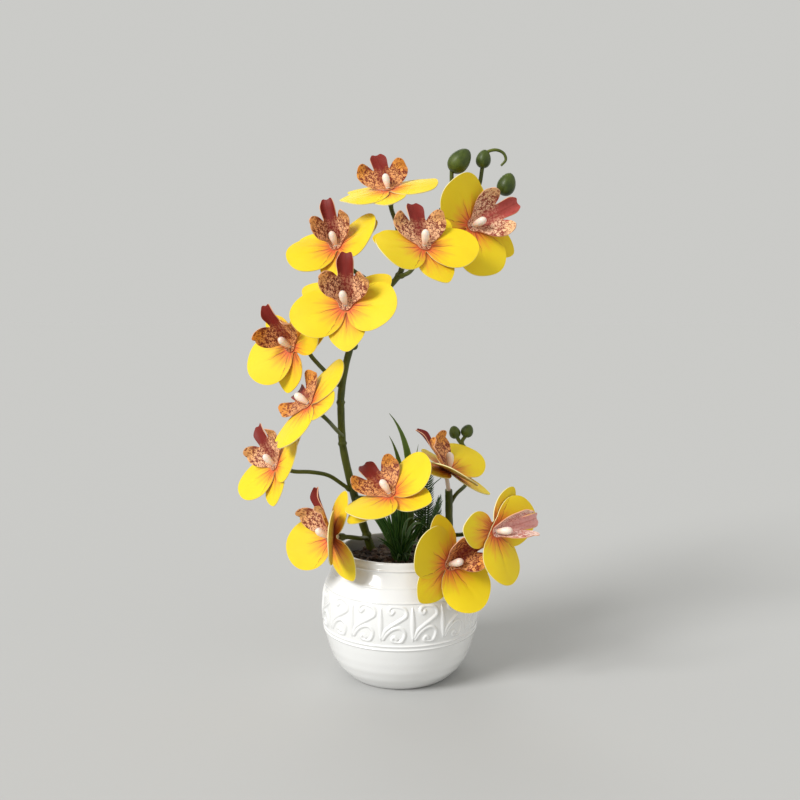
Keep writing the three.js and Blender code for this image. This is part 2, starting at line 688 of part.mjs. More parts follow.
// The lowest sepal may fold back, away from the petals
function sepalsGeometry({ twist, back = 0 }) {
  const spokes = [];
  SEPALS.forEach(({ turn, length, width }) => {
    const centre = (length + SEPAL_ROOT) / 2;
    lobeEdge(centre, length - centre, width / 2, SEPAL_POINTS).forEach(([along, across]) => {
      const lift = turn < 0 ? -back : 0;
      const tip = foldedPoint(along, across, turn - twist, lift, SEPAL_LAYER + SEPAL_RISE * along);
      const angle = Math.atan2(tip.y, tip.x);
      spokes.push([hubPoint(angle, HOLE_RADIUS, SEPAL_LAYER), tip]);
    });
  });
  return sheet(sortRound(spokes));
}

// The lip's flat outline, folded up at its sides and then tilted forward
function lipPoint(angle, reach, { lip, lift, lipTwist, cup }) {
  const across = reach * Math.sin(angle);
  const along = reach * Math.cos(angle);
  const side = across < 0 ? 0 : 1;
  const alongside = Math.atan(Math.tan(rad(lift[side])) / Math.cos(rad(lip)));
  const fold = alongside + rad(cup[side]);
  const past = Math.max(0, Math.abs(across) - LIP_FOLD);
  const x = Math.sign(across) * (Math.abs(across) - past + past * Math.cos(fold));
  const rise = past * Math.sin(fold);
  const beyond = Math.max(0, along - LIP_BEND);
  const lean = rad(lip) * THREE.MathUtils.clamp(along / (2 * LIP_BEND), 0, 1);
  const y = along - beyond + beyond * Math.cos(rad(lip)) - rise * Math.sin(lean);
  const z = LIP_LAYER + beyond * Math.sin(rad(lip)) + rise * Math.cos(lean);
  return new THREE.Vector3(x, y, z).applyAxisAngle(new THREE.Vector3(0, 0, 1), rad(lipTwist));
}

function lipGeometry(bloom) {
  const half = LIP_OUTLINE.map(([angle, reach]) => [rad(angle), reach]);
  const mirrored = half.map(([angle, reach]) => [-angle, reach]).reverse();
  const outline = [...half, [Math.PI, HUB_RADIUS], ...mirrored];
  const spokes = outline.map(([angle, reach]) => [
    lipPoint(angle, HOLE_RADIUS, bloom),
    lipPoint(angle, INNER_HUB, bloom),
    lipPoint(angle, reach, bloom),
  ]);
  return sheet(spokes.reverse());
}

// Where the stalk of a bloom enters its stem end, and in which direction it points
function socketOf(index) {
  const matrix = bloomMatrix(BLOOMS[index]);
  const centre = new THREE.Vector3().setFromMatrixPosition(matrix);
  const facing = new THREE.Vector3(0, 0, 1).transformDirection(matrix);
  if (index !== LONG_STALK) {
    const mouth = centre.clone().addScaledVector(facing, -SOCKET_DISTANCE);
    return { centre, facing, mouth, axis: facing };
  }
  return {
    centre,
    facing,
    mouth: new THREE.Vector3(...LONG_STALK_MOUTH),
    axis: new THREE.Vector3(...LONG_STALK_AXIS).normalize(),
  };
}

// Column: a bean that leans towards the lip, on a stalk that goes back through the sheets
function columnSolid(index) {
  const { centre, facing, mouth, axis } = socketOf(index);
  const matrix = bloomMatrix(BLOOMS[index]);
  const lean = rad(COLUMN_LEAN);
  const beanPoint = (distance, radius) => {
    const ahead = distance * Math.cos(lean);
    const up = COLUMN_LAYER + distance * Math.sin(lean);
    const place = new THREE.Vector3(0, ahead, up).applyMatrix4(matrix);
    return [...place.toArray(), radius * BLOOMS[index].size];
  };
  const stations = COLUMN_STATIONS.map(([distance, radius]) => beanPoint(distance, radius));
  const bean = bar(stations, SPIKE_SIDES, 1);
  const behind = (distance) => centre.clone().addScaledVector(facing, -distance).toArray();
  const inSocket = (depth) => mouth.clone().addScaledVector(axis, -depth).toArray();
  const front = centre.clone().addScaledVector(facing, STALK_FRONT).toArray();
  const route = index === LONG_STALK
    ? [front, behind(0), behind(STALK_BEND), LONG_STALK_BEND, inSocket(0), inSocket(SOCKET_DEPTH - GAP)]
    : [front, inSocket(SOCKET_DEPTH - GAP)];
  return join([bean, bar(withRadius(route, STALK_RADIUS), STALK_SIDES, 1)]);
}

BLOOMS.forEach((bloom, index) => {
  const group = new THREE.Group();
  group.applyMatrix4(bloomMatrix(bloom));
  model.add(group);
  const name = `bloom_${String(index + 1).padStart(2, '0')}`;
  addPiece(`${name}_sepals`, sepalsGeometry(bloom), COLOURS.petal, group);
  addPiece(`${name}_petals`, petalsGeometry(bloom), COLOURS.petal, group);
  addPiece(`${name}_lip`, lipGeometry(bloom), COLOURS.lip, group);
  addPiece(`${name}_column`, toGeometry(columnSolid(index)), COLOURS.column);
});

// ---------------------------------------------------------------- spikes
// A pedicel from its first point on the spike to the collar behind its bloom
function pedicel(points, index) {
  const { mouth, axis } = socketOf(index);
  const back = (distance) => mouth.clone().addScaledVector(axis, -distance).toArray();
  const route = [
    ...withRadius(points, PEDICEL_RADIUS),
    [...back(COLLAR_FLARE), PEDICEL_RADIUS],
    [...back(COLLAR_LENGTH), COLLAR_RADIUS],
    [...back(0), COLLAR_RADIUS],
  ];
  return bar(route, STALK_SIDES, 1);
}

function socketHole(index) {
  const { mouth, axis } = socketOf(index);
  const from = mouth.clone().addScaledVector(axis, -SOCKET_DEPTH).toArray();
  const to = mouth.clone().addScaledVector(axis, SOCKET_OPEN).toArray();
  return toSolid(rod(from, to, STALK_RADIUS + GAP, SPIKE_SIDES));
}

function spikeSolid(spike, pedicels, extras, endSockets = []) {
  const carried = Object.entries(pedicels);
  const body = join([
    bar(spike, SPIKE_SIDES, 1),
    ...carried.map(([index, points]) => pedicel(points, Number(index))),
    ...extras,
  ]);
  const sockets = [...carried.map(([index]) => Number(index)), ...endSockets];
  return toGeometry(sockets.reduce((whole, index) => whole.subtract(socketHole(index)), body));
}

const budStalk = (points) => bar(withRadius(points, BUD_STALK_RADIUS), STALK_SIDES, 1);
addPiece('spike_tall', spikeSolid(TALL_SPIKE, TALL_PEDICELS, [
  ...BUD_STALKS.map(budStalk),
  ...TALL_BUDS.map(egg),
  egg(KNOB),
  bar(withRadius(TENDRIL, TENDRIL_RADIUS), STALK_SIDES, 1),
]), COLOURS.stem);

const longMouth = [...LONG_STALK_MOUTH, SHORT_SPIKE[SHORT_SPIKE.length - 1][3]];
addPiece('spike_short', spikeSolid([...SHORT_SPIKE, longMouth], SHORT_PEDICELS, [
  ...SHORT_BUD_STALKS.map(budStalk),
  ...SHORT_BUDS.map(egg),
], [LONG_STALK]), COLOURS.stem);

// ---------------------------------------------------------------- grass tuft
// A three-sided blade along a bent line, from a broad base to a point, with its face turned outward
function blade(base, knee, tip, outward) {
  const curve = new THREE.QuadraticBezierCurve3(
    new THREE.Vector3(...base), new THREE.Vector3(...knee), new THREE.Vector3(...tip),
  );
  const points = [];
  for (let i = 0; i < BLADE_STEPS; i += 1) {
    const t = i / BLADE_STEPS;
    const centre = curve.getPoint(t);
    const tangent = curve.getTangent(t);
    const side = new THREE.Vector3().crossVectors(tangent, outward).normalize();
    const face = new THREE.Vector3().crossVectors(side, tangent).normalize();
    const half = (BLADE_WIDTH / 2) * (1 - BLADE_TAPER * t * t);
    points.push(
      centre.clone().addScaledVector(side, half).toArray(),
      centre.clone().addScaledVector(face, -BLADE_THICK).toArray(),
      centre.clone().addScaledVector(side, -half).toArray(),
    );
  }
  points.push(tip);
  const triangles = [[0, 2, 1]];
  for (let i = 0; i < BLADE_STEPS - 1; i += 1) {
    for (let k = 0; k < 3; k += 1) {
      const a = 3 * i + k;
      const b = 3 * i + ((k + 1) % 3);
      triangles.push([a, b, a + 3], [b, b + 3, a + 3]);
    }
  }
  const last = 3 * (BLADE_STEPS - 1);
  for (let k = 0; k < 3; k += 1) triangles.push([last + k, last + ((k + 1) % 3), last + 3]);
  return meshOf(points, triangles);
}

function tuftSolid() {
  const random = randomFrom(TUFT_SEED);
  const chance = () => 1 + TUFT_SPREAD * (random() - 0.5);
  const [x0, y0] = TUFT_AT;
  const foot = CORE_RISE - TUFT_ROOT;
  const open = 360 - (FERN_SECTOR[1] - FERN_SECTOR[0]);
  const blades = [];
  for (let i = 0; i < TUFT_BLADES; i += 1) {
    const azimuth = rad(FERN_SECTOR[1] + ((i * TUFT_TURN) % open));
    const outward = new THREE.Vector3(Math.cos(azimuth), Math.sin(azimuth), 0);
    const share = i / (TUFT_BLADES - 1);
    const reach = THREE.MathUtils.lerp(...TUFT_REACH, share) * chance();
    const rise = THREE.MathUtils.lerp(...TUFT_RISE, share) * chance();
    const place = (distance, height) => (
      [x0 + distance * outward.x, y0 + distance * outward.y, foot + height]
    );
    const knee = place(reach * TUFT_KNEE[0], rise * TUFT_KNEE[1]);
    blades.push(blade(place(1, -1), knee, place(reach, rise), outward));
  }
  TALL_BLADES.forEach(([knee, tip]) => {
    blades.push(blade([x0, y0, foot], knee, tip, new THREE.Vector3(0, -1, 0)));
  });
  const core = rod([x0, y0, CORE_DEPTH], [x0, y0, CORE_RISE], TUFT_CORE, CORE_SIDES);
  return toGeometry(withoutPockets(join([core, ...blades])));
}

addPiece('grass_tuft', tuftSolid(), COLOURS.grass);

// ---------------------------------------------------------------- fern
// One arched frond: a narrow blade whose edges are cut into pointed leaflets
function frond({ knee, tip, across }) {
  const curve = new THREE.QuadraticBezierCurve3(
    new THREE.Vector3(...FERN_AT, CORE_RISE - TUFT_ROOT),
    new THREE.Vector3(...knee),
    new THREE.Vector3(...tip),
  );
  const spread = new THREE.Vector3(...across).normalize();
  const ribs = [];
  const teeth = [];
  for (let i = 0; i <= FROND_PITCHES; i += 1) {
    const t = i / FROND_PITCHES;
    const centre = curve.getPoint(t);
    const tangent = curve.getTangent(t);
    const side = spread.clone().addScaledVector(tangent, -spread.dot(tangent)).normalize();
    const half = FROND_RIB * (1 - RIB_TAPER * t);
    ribs.push([-half, 0, half].map((offset) => centre.clone().addScaledVector(side, offset)));
    const swell = Math.sin(Math.PI * THREE.MathUtils.lerp(FROND_ROOT, 1, t));
    const leaflet = FROND_ENDS + FROND_HALF * Math.max(0, swell) ** FROND_FULLNESS;
    const pitch = curve.getLength() / FROND_PITCHES;
    teeth.push([-1, 1].map((sign) => centre.clone()
      .addScaledVector(side, sign * (half + leaflet))
      .addScaledVector(tangent, pitch * FROND_SLANT)));
  }
  const points = [];
  const normalAt = (i) => {
    const tangent = curve.getTangent(i / FROND_PITCHES);
    return new THREE.Vector3().crossVectors(ribs[i][2].clone().sub(ribs[i][0]), tangent).normalize();
  };
  const faces = [];
  const perRow = 5;
  [1, -1].forEach((face) => {
    ribs.forEach((row, i) => {
      const offset = normalAt(i).multiplyScalar((face * FROND_THICK) / 2);
      [...row, ...teeth[i]].forEach((point) => points.push(point.clone().add(offset).toArray()));
    });
  });
  for (let i = 0; i < FROND_PITCHES; i += 1) {
    const a = perRow * i;
    const b = a + perRow;
    faces.push([a, a + 1, b], [a + 1, b + 1, b], [a + 1, a + 2, b + 1], [a + 2, b + 2, b + 1]);
    faces.push([a, b, a + 3], [a + 2, a + 4, b + 2]);
  }
  const other = perRow * ribs.length;
  const triangles = [...faces, ...faces.map(([a, b, c]) => [c + other, b + other, a + other])];
  const wall = (a, b) => triangles.push([b, a, a + other], [b, a + other, b + other]);
  for (let i = 0; i < FROND_PITCHES; i += 1) {
    const a = perRow * i;
    const b = a + perRow;
    wall(b, a + 3);
    wall(a + 3, a);
    wall(a + 2, a + 4);
    wall(a + 4, b + 2);
  }
  const end = perRow * FROND_PITCHES;
  wall(0, 1);
  wall(1, 2);
  wall(end + 2, end + 1);
  wall(end + 1, end);
  return dropLoose(meshOf(points, triangles));
}

// Removes points that no triangle uses
function dropLoose(geometry) {
  return mergeVertices(geometry.toNonIndexed(), MERGE_DISTANCE);
}

function fernSolid() {
  const core = rod([...FERN_AT, CORE_DEPTH], [...FERN_AT, CORE_RISE], FERN_CORE, CORE_SIDES);
  const leaf = bar(withRadius(THIN_LEAF, THIN_LEAF_RADIUS), STALK_SIDES, 2);
  return toGeometry(withoutPockets(join([core, leaf, ...FRONDS.map(frond)])));
}

addPiece('fern', fernSolid(), COLOURS.fern);

export default model;
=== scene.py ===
"""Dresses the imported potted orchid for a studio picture: thirteen blooms with printed fabric petals, two
moulded green spikes, a grass tuft, fern fronds and bark in a white glazed pot with a raised scroll band.
Lengths in the tables are millimetres; meshes are made in metres."""

from collections import namedtuple
from math import atan, cos, degrees, pi, radians as rad, sin, sqrt, tan

import bpy
import numpy as np
from mathutils import Matrix, Vector


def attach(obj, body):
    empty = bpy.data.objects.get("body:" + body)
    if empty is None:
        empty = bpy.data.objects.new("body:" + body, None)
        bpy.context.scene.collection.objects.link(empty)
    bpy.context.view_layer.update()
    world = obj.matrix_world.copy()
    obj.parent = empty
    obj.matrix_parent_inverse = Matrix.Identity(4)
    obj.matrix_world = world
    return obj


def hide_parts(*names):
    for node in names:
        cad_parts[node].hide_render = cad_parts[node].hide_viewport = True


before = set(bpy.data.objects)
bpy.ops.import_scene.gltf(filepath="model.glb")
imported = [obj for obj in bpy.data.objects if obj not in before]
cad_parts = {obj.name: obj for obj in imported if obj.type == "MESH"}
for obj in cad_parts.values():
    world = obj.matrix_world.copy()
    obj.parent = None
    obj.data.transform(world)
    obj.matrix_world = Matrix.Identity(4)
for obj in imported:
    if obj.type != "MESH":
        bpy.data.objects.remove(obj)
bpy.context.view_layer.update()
scene = bpy.context.scene

MM = 0.001
UV_SCALE = 0.01  # uv units for each millimetre
FULL_TURN = 2 * pi
rng = np.random.default_rng(7)
chance = rng.uniform

# --- Sizes shared with the solids ---
SHEET = 0.8
HOLE_RADIUS = 1.8
STALK_RADIUS = 1.5
HUB_RADIUS = 4.5
PETAL_CENTRE = 20.0
PETAL_RADIUS = 18.5
SEPALS = ((-90, 33, 26), (30, 35, 22), (150, 35, 22))  # direction, length and width
SEPAL_RISE = 0.02
LOBE_SWEEP = 150
LIP_FOLD = 3.5
LIP_BEND = 3.0
SEPAL_LAYER = -1.5
PETAL_LAYER = -0.4
LIP_LAYER = 0.75
COLUMN_LAYER = 1.5
COLUMN_LENGTH = 11
COLUMN_LEAN = 62
SOCKET_DISTANCE = 6
SOCKET_DEPTH = 4
GAP = 0.3
PEDICEL_RADIUS = 1.5
BUD_STALK_RADIUS = 1.4
LONG_STALK = 10
LONG_STALK_MOUTH = (34.5, 4.5, 131)
LONG_STALK_AXIS = (-0.05, -0.35, 0.93)
LONG_STALK_BEND = (33, -0.5, 139.5)

Bloom = namedtuple("Bloom", "at turn lift droop size twist lip lip_twist cup back dye", defaults=(0, "tan"))
# centre; pitch, yaw and roll; fold of the left and right half; droop of the left and right petal; size; twist of
# the sepals; tilt, twist and side cups of the lip; how far the lowest sepal bends back; the lip's print
BLOOMS = (
    Bloom((-8, -5, 340), (70, 7, -12), (3, 3), (-17, -14), 0.9, 10, 40, 2, (-2, -10)),
    Bloom((-43, -10, 302), (45, -11, -16), (19, 25), (-14, -5), 0.91, 3, 45, -4, (34, 1), dye="peach"),
    Bloom((-35, -43, 263), (30, -11, -7), (12, 16), (-15, -14), 0.96, -1, 39, -11, (30, 3), dye="peach"),
    Bloom((15.5, -43, 301), (40, 22, -5), (14, 13), (-10, -15), 0.93, -11, 12, -2, (-5, -6), dye="peach"),
    Bloom((49.7, -5, 316), (23, -1, 66), (32, 18), (-13, -13), 0.99, -6, 17, 3, (-2, 18), dye="rose"),
    Bloom((-75, -7, 234), (25, -33, -28), (24, 18), (-13, 15), 0.95, 26, 44, -9, (20, -6)),
    Bloom((-61, -31, 197), (71, 19, -53), (2, 7), (-13, -13), 0.96, -5, 3, -14, (0, 4)),
    Bloom((-86, -14, 152.5), (56, -35, -42), (20, 11), (-13, -13), 0.91, 3, 30, 6, (-8, 0), dye="peach"),
    Bloom((-7, -40, 138), (60, 27, -34), (21, 24), (-13, -13), 0.94, -21, 17, -8, (-6, -6)),
    Bloom((-47, -34, 107), (40, -52, -38), (36, 34), (-7, -12), 0.98, -17, 22, -8, (-8, -8), 18, "peach"),
    Bloom((34, -5, 148), (63, 81, 1), (18, 27), (-13, -13), 1, -7, 26, -2, (-6, -5)),
    Bloom((62.2, -61, 118), (46, 4, 82), (12, 24), (88, -11), 0.923, 20, 22, 0, (36, 60), dye="pink"),
    Bloom((33, -50, 93), (26, 19, 50), (18, 26), (-13, -13), 0.95, 0, 22, -4, (17, 40)),
)


# --- Shape helpers ---
def ramp(value, start, width):
    """0 up to the start, then rising to 1 over the width."""
    return np.clip((value - start) / width, 0, 1)


def bell(value, width):
    """A smooth hump of height 1 around zero."""
    return np.exp(-((value / width) ** 2))


def between(pair, share):
    return pair[0] + (pair[1] - pair[0]) * share


def bent(start, knee, end, t):
    return (1 - t) ** 2 * start + 2 * t * (1 - t) * knee + t**2 * end


def unit(vectors):
    return vectors / (np.linalg.norm(vectors, axis=-1, keepdims=True) + 1e-12)


def smooth_line(points, per_span):
    """A smooth curve through the points."""
    p = np.asarray(points, float)
    padded = np.vstack([2 * p[0] - p[1], p, 2 * p[-1] - p[-2]])
    out = []
    for a, b, c, d in zip(padded, padded[1:], padded[2:], padded[3:]):
        back, span, ahead = (max(np.linalg.norm(step[:3]), 1e-6) for step in (b - a, c - b, d - c))
        m1 = (c - b) / span * 0.5 + (b - a) / back * 0.5
        m2 = (d - c) / ahead * 0.5 + (c - b) / span * 0.5
        for k in range(per_span):
            t = k / per_span
            h = (2 * t**3 - 3 * t**2 + 1, t**3 - 2 * t**2 + t, -2 * t**3 + 3 * t**2, t**3 - t**2)
            out.append(h[0] * b + h[1] * m1 * span + h[2] * c + h[3] * m2 * span)
    out.append(p[-1])
    return np.array(out)


def grid_faces(rows, columns, flip=False):
    """Quads of a tube of closed rings."""
    faces = []
    for r in range(rows - 1):
        for c in range(columns):
            n = (c + 1) % columns
            quad = (r * columns + c, r * columns + n, (r + 1) * columns + n, (r + 1) * columns + c)
            faces.append(quad[::-1] if flip else quad)
    return faces


def capped_faces(rows, columns, flip=False):
    """A tube with one flat face at each end."""
    ends = [tuple(range(columns))[::-1], tuple((rows - 1) * columns + c for c in range(columns))]
    return grid_faces(rows, columns, flip) + [end[::-1] if flip else end for end in ends]


def pointed_faces(rows, columns):
    """A tube whose ends close on two points, which follow those of the rings."""
    faces = grid_faces(rows, columns)
    foot, tip = rows * columns, rows * columns + 1
    last = (rows - 1) * columns
    faces += [(foot, (c + 1) % columns, c) for c in range(columns)]
    return faces + [(tip, last + c, last + (c + 1) % columns) for c in range(columns)]


def loft(centres, radii, sides, ridge=0.0, ridges=5, uv_start=0.0):
    """Closed round body along the centres; returns points, faces and uv (length and turn)."""
    tangents = unit(np.gradient(centres, axis=0))
    normal = np.array([1.0, 0.0, 0.0])
    points, uv = [], []
    length = 0.0
    for i, (centre, tangent) in enumerate(zip(centres, tangents)):
        normal = unit(normal - tangent * (normal @ tangent))
        side = np.cross(tangent, normal)
        if i:
            length += np.linalg.norm(centre - centres[i - 1])
        for k in range(sides):
            turn = FULL_TURN * k / sides
            reach = radii[i] * (1 + ridge * cos(ridges * turn))
            points.append(centre + reach * (cos(turn) * normal + sin(turn) * side))
            uv.append((length * UV_SCALE + uv_start, k / sides))
    points += [centres[0], centres[-1]]
    uv += [(uv_start, 0.5), (length * UV_SCALE + uv_start, 0.5)]
    return points, pointed_faces(len(centres), sides), uv


def lathe(rows, sides):
    """Points of round rings, given by height and radius."""
    turns = [FULL_TURN * k / sides for k in range(sides)]
    return [(radius * cos(a), radius * sin(a), z) for z, radius in rows for a in turns]


# --- Mesh helpers ---
def link(name, data):
    made = bpy.data.objects.new(name, data)
    scene.collection.objects.link(made)
    return made


def add_mesh(name, points, faces, materials, marks, uv, smooth_angle):
    """A piece from millimetre points; marks has the material of each face, uv one pair for each point."""
    mesh = bpy.data.meshes.new(name)
    mesh.from_pydata((np.asarray(points, float) * MM).tolist(), [], faces)
    for material in materials:
        mesh.materials.append(material)
    mesh.polygons.foreach_set("material_index", np.asarray(marks, np.int32))
    mesh.polygons.foreach_set("use_smooth", np.ones(len(mesh.polygons), bool))
    layer = mesh.uv_layers.new(name="shape")
    loops = np.zeros(len(mesh.loops), np.int32)
    mesh.loops.foreach_get("vertex_index", loops)
    layer.data.foreach_set("uv", np.asarray(uv, np.float32)[loops].ravel())
    mesh.update()
    mesh.set_sharp_from_angle(angle=rad(smooth_angle))
    return link(name, mesh)


def settle(piece, slot, *nodes):
    """The piece stands for its CAD nodes, which are hidden, and hangs from the root body; the slot is not used."""
    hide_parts(*nodes)
    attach(piece, "root")


class Collector:
    """Gathers several closed shapes into one piece."""

    def __init__(self):
        self.points, self.faces, self.uv, self.marks = [], [], [], []

    def add(self, points, faces, uv, material=0):
        base = len(self.points)
        self.points.extend(points)
        self.faces.extend(tuple(v + base for v in face) for face in faces)
        self.uv.extend(uv)
        self.marks.extend([material] * len(faces))

    def make(self, name, materials, smooth_angle=42):
        return add_mesh(name, self.points, self.faces, materials, self.marks, self.uv, smooth_angle)


# --- Material helpers ---
class Nodes:
    """Short names for building a material on one shader."""

    def __init__(self, name, settings):
        self.material = bpy.data.materials.new(name)
        self.material.use_nodes = True
        self.tree = self.material.node_tree
        self.shader = self.tree.nodes["Principled BSDF"]
        self.plug(self.shader, settings)

    def plug(self, node, values):
        """Sets or links sockets of a node, given by name or number."""
        for key, value in values.items():
            socket = node.inputs[key]
            if isinstance(value, tuple) and socket.type == "RGBA":
                value = (*value, 1.0)
            if isinstance(value, (int, float, tuple)):
                socket.default_value = value
            elif value is not None:
                self.tree.links.new(value, socket)

    def new(self, kind, values, **settings):
        node = self.tree.nodes.new(kind)
        for key, value in settings.items():
            setattr(node, key, value)
        self.plug(node, values)
        return node

    def math(self, operation, a, b=None, c=None, clamp=False):
        return self.new("ShaderNodeMath", {0: a, 1: b, 2: c}, operation=operation, use_clamp=clamp).outputs[0]

    def mul(self, a, *others):
        for b in others:
            a = self.math("MULTIPLY", a, b)
        return a

    def sub(self, a, b):
        return self.math("SUBTRACT", a, b)

    def mad(self, a, b, c):
        """a times b, plus c."""
        return self.math("MULTIPLY_ADD", a, b, c)

    def swing(self, noise, gain, base):
        """The base, moved to both sides by a noise."""
        return self.mad(self.sub(noise, 0.5), gain, base)

    def step(self, value, low, high):
        """0 at low and 1 at high, with a soft passage."""
        values = {0: value, 1: low, 2: high}
        return self.new("ShaderNodeMapRange", values, interpolation_type="SMOOTHSTEP").outputs[0]

    def mix(self, colour, other, *masks):
        """The colour, turned into another where all the masks are."""
        return self.new("ShaderNodeMix", {0: self.mul(*masks), 6: colour, 7: other}, data_type="RGBA").outputs[2]

    def combine(self, x, y, z=0.0):
        return self.new("ShaderNodeCombineXYZ", {0: x, 1: y, 2: z}).outputs[0]

    def spot(self, where):
        """The piece's own coordinates, or those given as a socket or as two or three values."""
        if where is None:
            return self.new("ShaderNodeTexCoord", {}).outputs["Object"]
        return self.combine(*where) if isinstance(where, tuple) else where

    def noise(self, scale, detail=3.0, where=None, roughness=0.55):
        values = {"Vector": self.spot(where), "Scale": scale, "Detail": detail, "Roughness": roughness}
        return self.new("ShaderNodeTexNoise", values).outputs["Fac"]

    def cells(self, scale, where=None, feature="F1"):
        values = {"Vector": self.spot(where), "Scale": scale}
        return self.new("ShaderNodeTexVoronoi", values, feature=feature).outputs["Distance"]

    def uv(self):
        pair = self.new("ShaderNodeUVMap", {}, uv_map="shape").outputs[0]
        return self.new("ShaderNodeSeparateXYZ", {0: pair}).outputs[:2]

    def bump(self, height, strength, distance):
        values = {"Strength": strength, "Distance": distance * MM, "Height": height}
        self.plug(self.shader, {"Normal": self.new("ShaderNodeBump", values).outputs[0]})

    def finish(self, colour, roughness=None):
        self.plug(self.shader, {"Base Color": colour, "Roughness": roughness})
        return self.material


def translucent(weight, radius):
    return {"Subsurface Weight": weight, "Subsurface Radius": radius, "Subsurface Scale": 0.002}


def scaled(colour, factor):
    return tuple(factor * c for c in colour)


# --- Materials ---
YELLOW = (0.88, 0.655, 0.004)
GOLD = (0.72, 0.45, 0.004)
ORANGE = (0.84, 0.20, 0.030)
ROSE = (0.70, 0.095, 0.035)
UMBER = (0.46, 0.085, 0.010)
VEIN = (0.34, 0.085, 0.008)
CREAM = (0.92, 0.84, 0.48)
OLIVE_GOLD = (0.55, 0.36, 0.006)
CLOTH = {
    "Specular IOR Level": 0.35, "Sheen Weight": 0.06, "Sheen Roughness": 0.5, **translucent(0.12, (1.0, 0.6, 0.1)),
}
PLASTIC = {"Specular IOR Level": 0.35, "Coat Weight": 0.08, "Coat Roughness": 0.35}
LEAF = {"Roughness": 0.4, "Specular IOR Level": 0.35, "Coat Weight": 0.12, "Coat Roughness": 0.25}
WEAVE_PITCH = 0.5


def radius_of(n, u, v):
    """Distance from the bloom's centre in millimetres."""
    return n.mul(n.math("SQRT", n.math("ADD", n.mul(u, u), n.mul(v, v))), 1 / UV_SCALE)


def cloth_relief(n, u, v, strength, ribs=None):
    """Fine woven relief over everything, with the printed ribs pressed in; returns the roughness."""
    grain = n.noise(3.0, 4.0, (n.mul(u, 90.0), n.mul(v, 90.0)))
    warp, weft = (n.math("SINE", n.mul(way, FULL_TURN / (WEAVE_PITCH * UV_SCALE))) for way in (u, v))
    height = n.mad(grain, 0.35, n.mad(n.mul(warp, weft), 0.5, 0.5))
    if ribs is not None:
        height = n.mad(ribs, -0.9, height)
    n.bump(height, strength, 0.14)
    return n.mad(grain, 0.12, 0.52)


def claw_lines(n, u, v, offset, raggedness):
    """Distance and angle from the bloom's centre, and the distance with ragged streaks."""
    reach = radius_of(n, u, v)
    angle = n.math("ARCTAN2", v, u)
    streaks = n.noise(1.0, 2.0, (n.mul(angle, 7.0), n.mul(reach, 0.03), offset))
    return reach, angle, n.swing(streaks, raggedness, reach)


def lobe_front(name, blush_end, blush_strength, vein_count, root, root_end):
    """Printed face of a petal or sepal: yellow, an orange blush from the claw, and broken radiating veins."""
    n = Nodes(name, CLOTH)
    u, v = n.uv()
    reach, angle, ragged = claw_lines(n, u, v, 0.0, 22.0)
    blush = n.math("MULTIPLY", n.step(ragged, blush_end, 4.0), blush_strength, clamp=True)
    wander = n.noise(1.0, 2.0, (n.mul(reach, 0.10), angle, 3.0))
    cell = n.mul(n.swing(wander, 0.22, angle), vein_count / pi)
    index = n.math("FLOOR", n.math("ADD", cell, 0.5))
    off = n.math("ABSOLUTE", n.sub(cell, index))
    width = n.mul(off, n.mul(reach, pi / vein_count))
    length = n.new("ShaderNodeTexWhiteNoise", {"W": index}, noise_dimensions="1D").outputs["Value"]
    end = n.mad(length, 15.0, 14.0)
    left = n.math("DIVIDE", n.sub(end, reach), 16.0, clamp=True)
    line = n.step(n.sub(width, n.mul(left, 0.36)), 0.20, -0.05)
    broken = n.step(n.noise(1.0, 2.0, (n.mul(reach, 0.35), angle, 9.0)), 0.28, 0.46)
    vein = n.mul(line, n.step(left, 0.0, 0.25), n.step(reach, 4.5, 8.0), broken)
    colour = n.mix(YELLOW, GOLD, n.step(n.noise(26.0), 0.35, 0.75), 0.38)
    colour = n.mix(colour, ORANGE, blush)
    colour = n.mix(colour, root, n.step(ragged, root_end, root_end * 0.35), 0.85)
    colour = n.mix(colour, VEIN, vein, 0.72)
    return n.finish(colour, cloth_relief(n, u, v, 0.28, vein))


def lobe_back():
    """Plain reverse of a petal or sepal: olive gold, deep orange at the claw."""
    n = Nodes("petal_back", CLOTH)
    u, v = n.uv()
    ragged = claw_lines(n, u, v, 4.0, 18.0)[2]
    colour = n.mix(OLIVE_GOLD, (0.70, 0.48, 0.010), n.step(n.noise(34.0), 0.3, 0.75))
    colour = n.mix(colour, (0.50, 0.13, 0.012), n.step(ragged, 20.0, 4.0), 0.9)
    return n.finish(colour, cloth_relief(n, u, v, 0.3))


def fibre_edge(name, roughness, scale, one, other):
    n = Nodes(name, {"Roughness": roughness})
    return n.finish(n.mix(one, other, n.noise(scale, 2.0)))


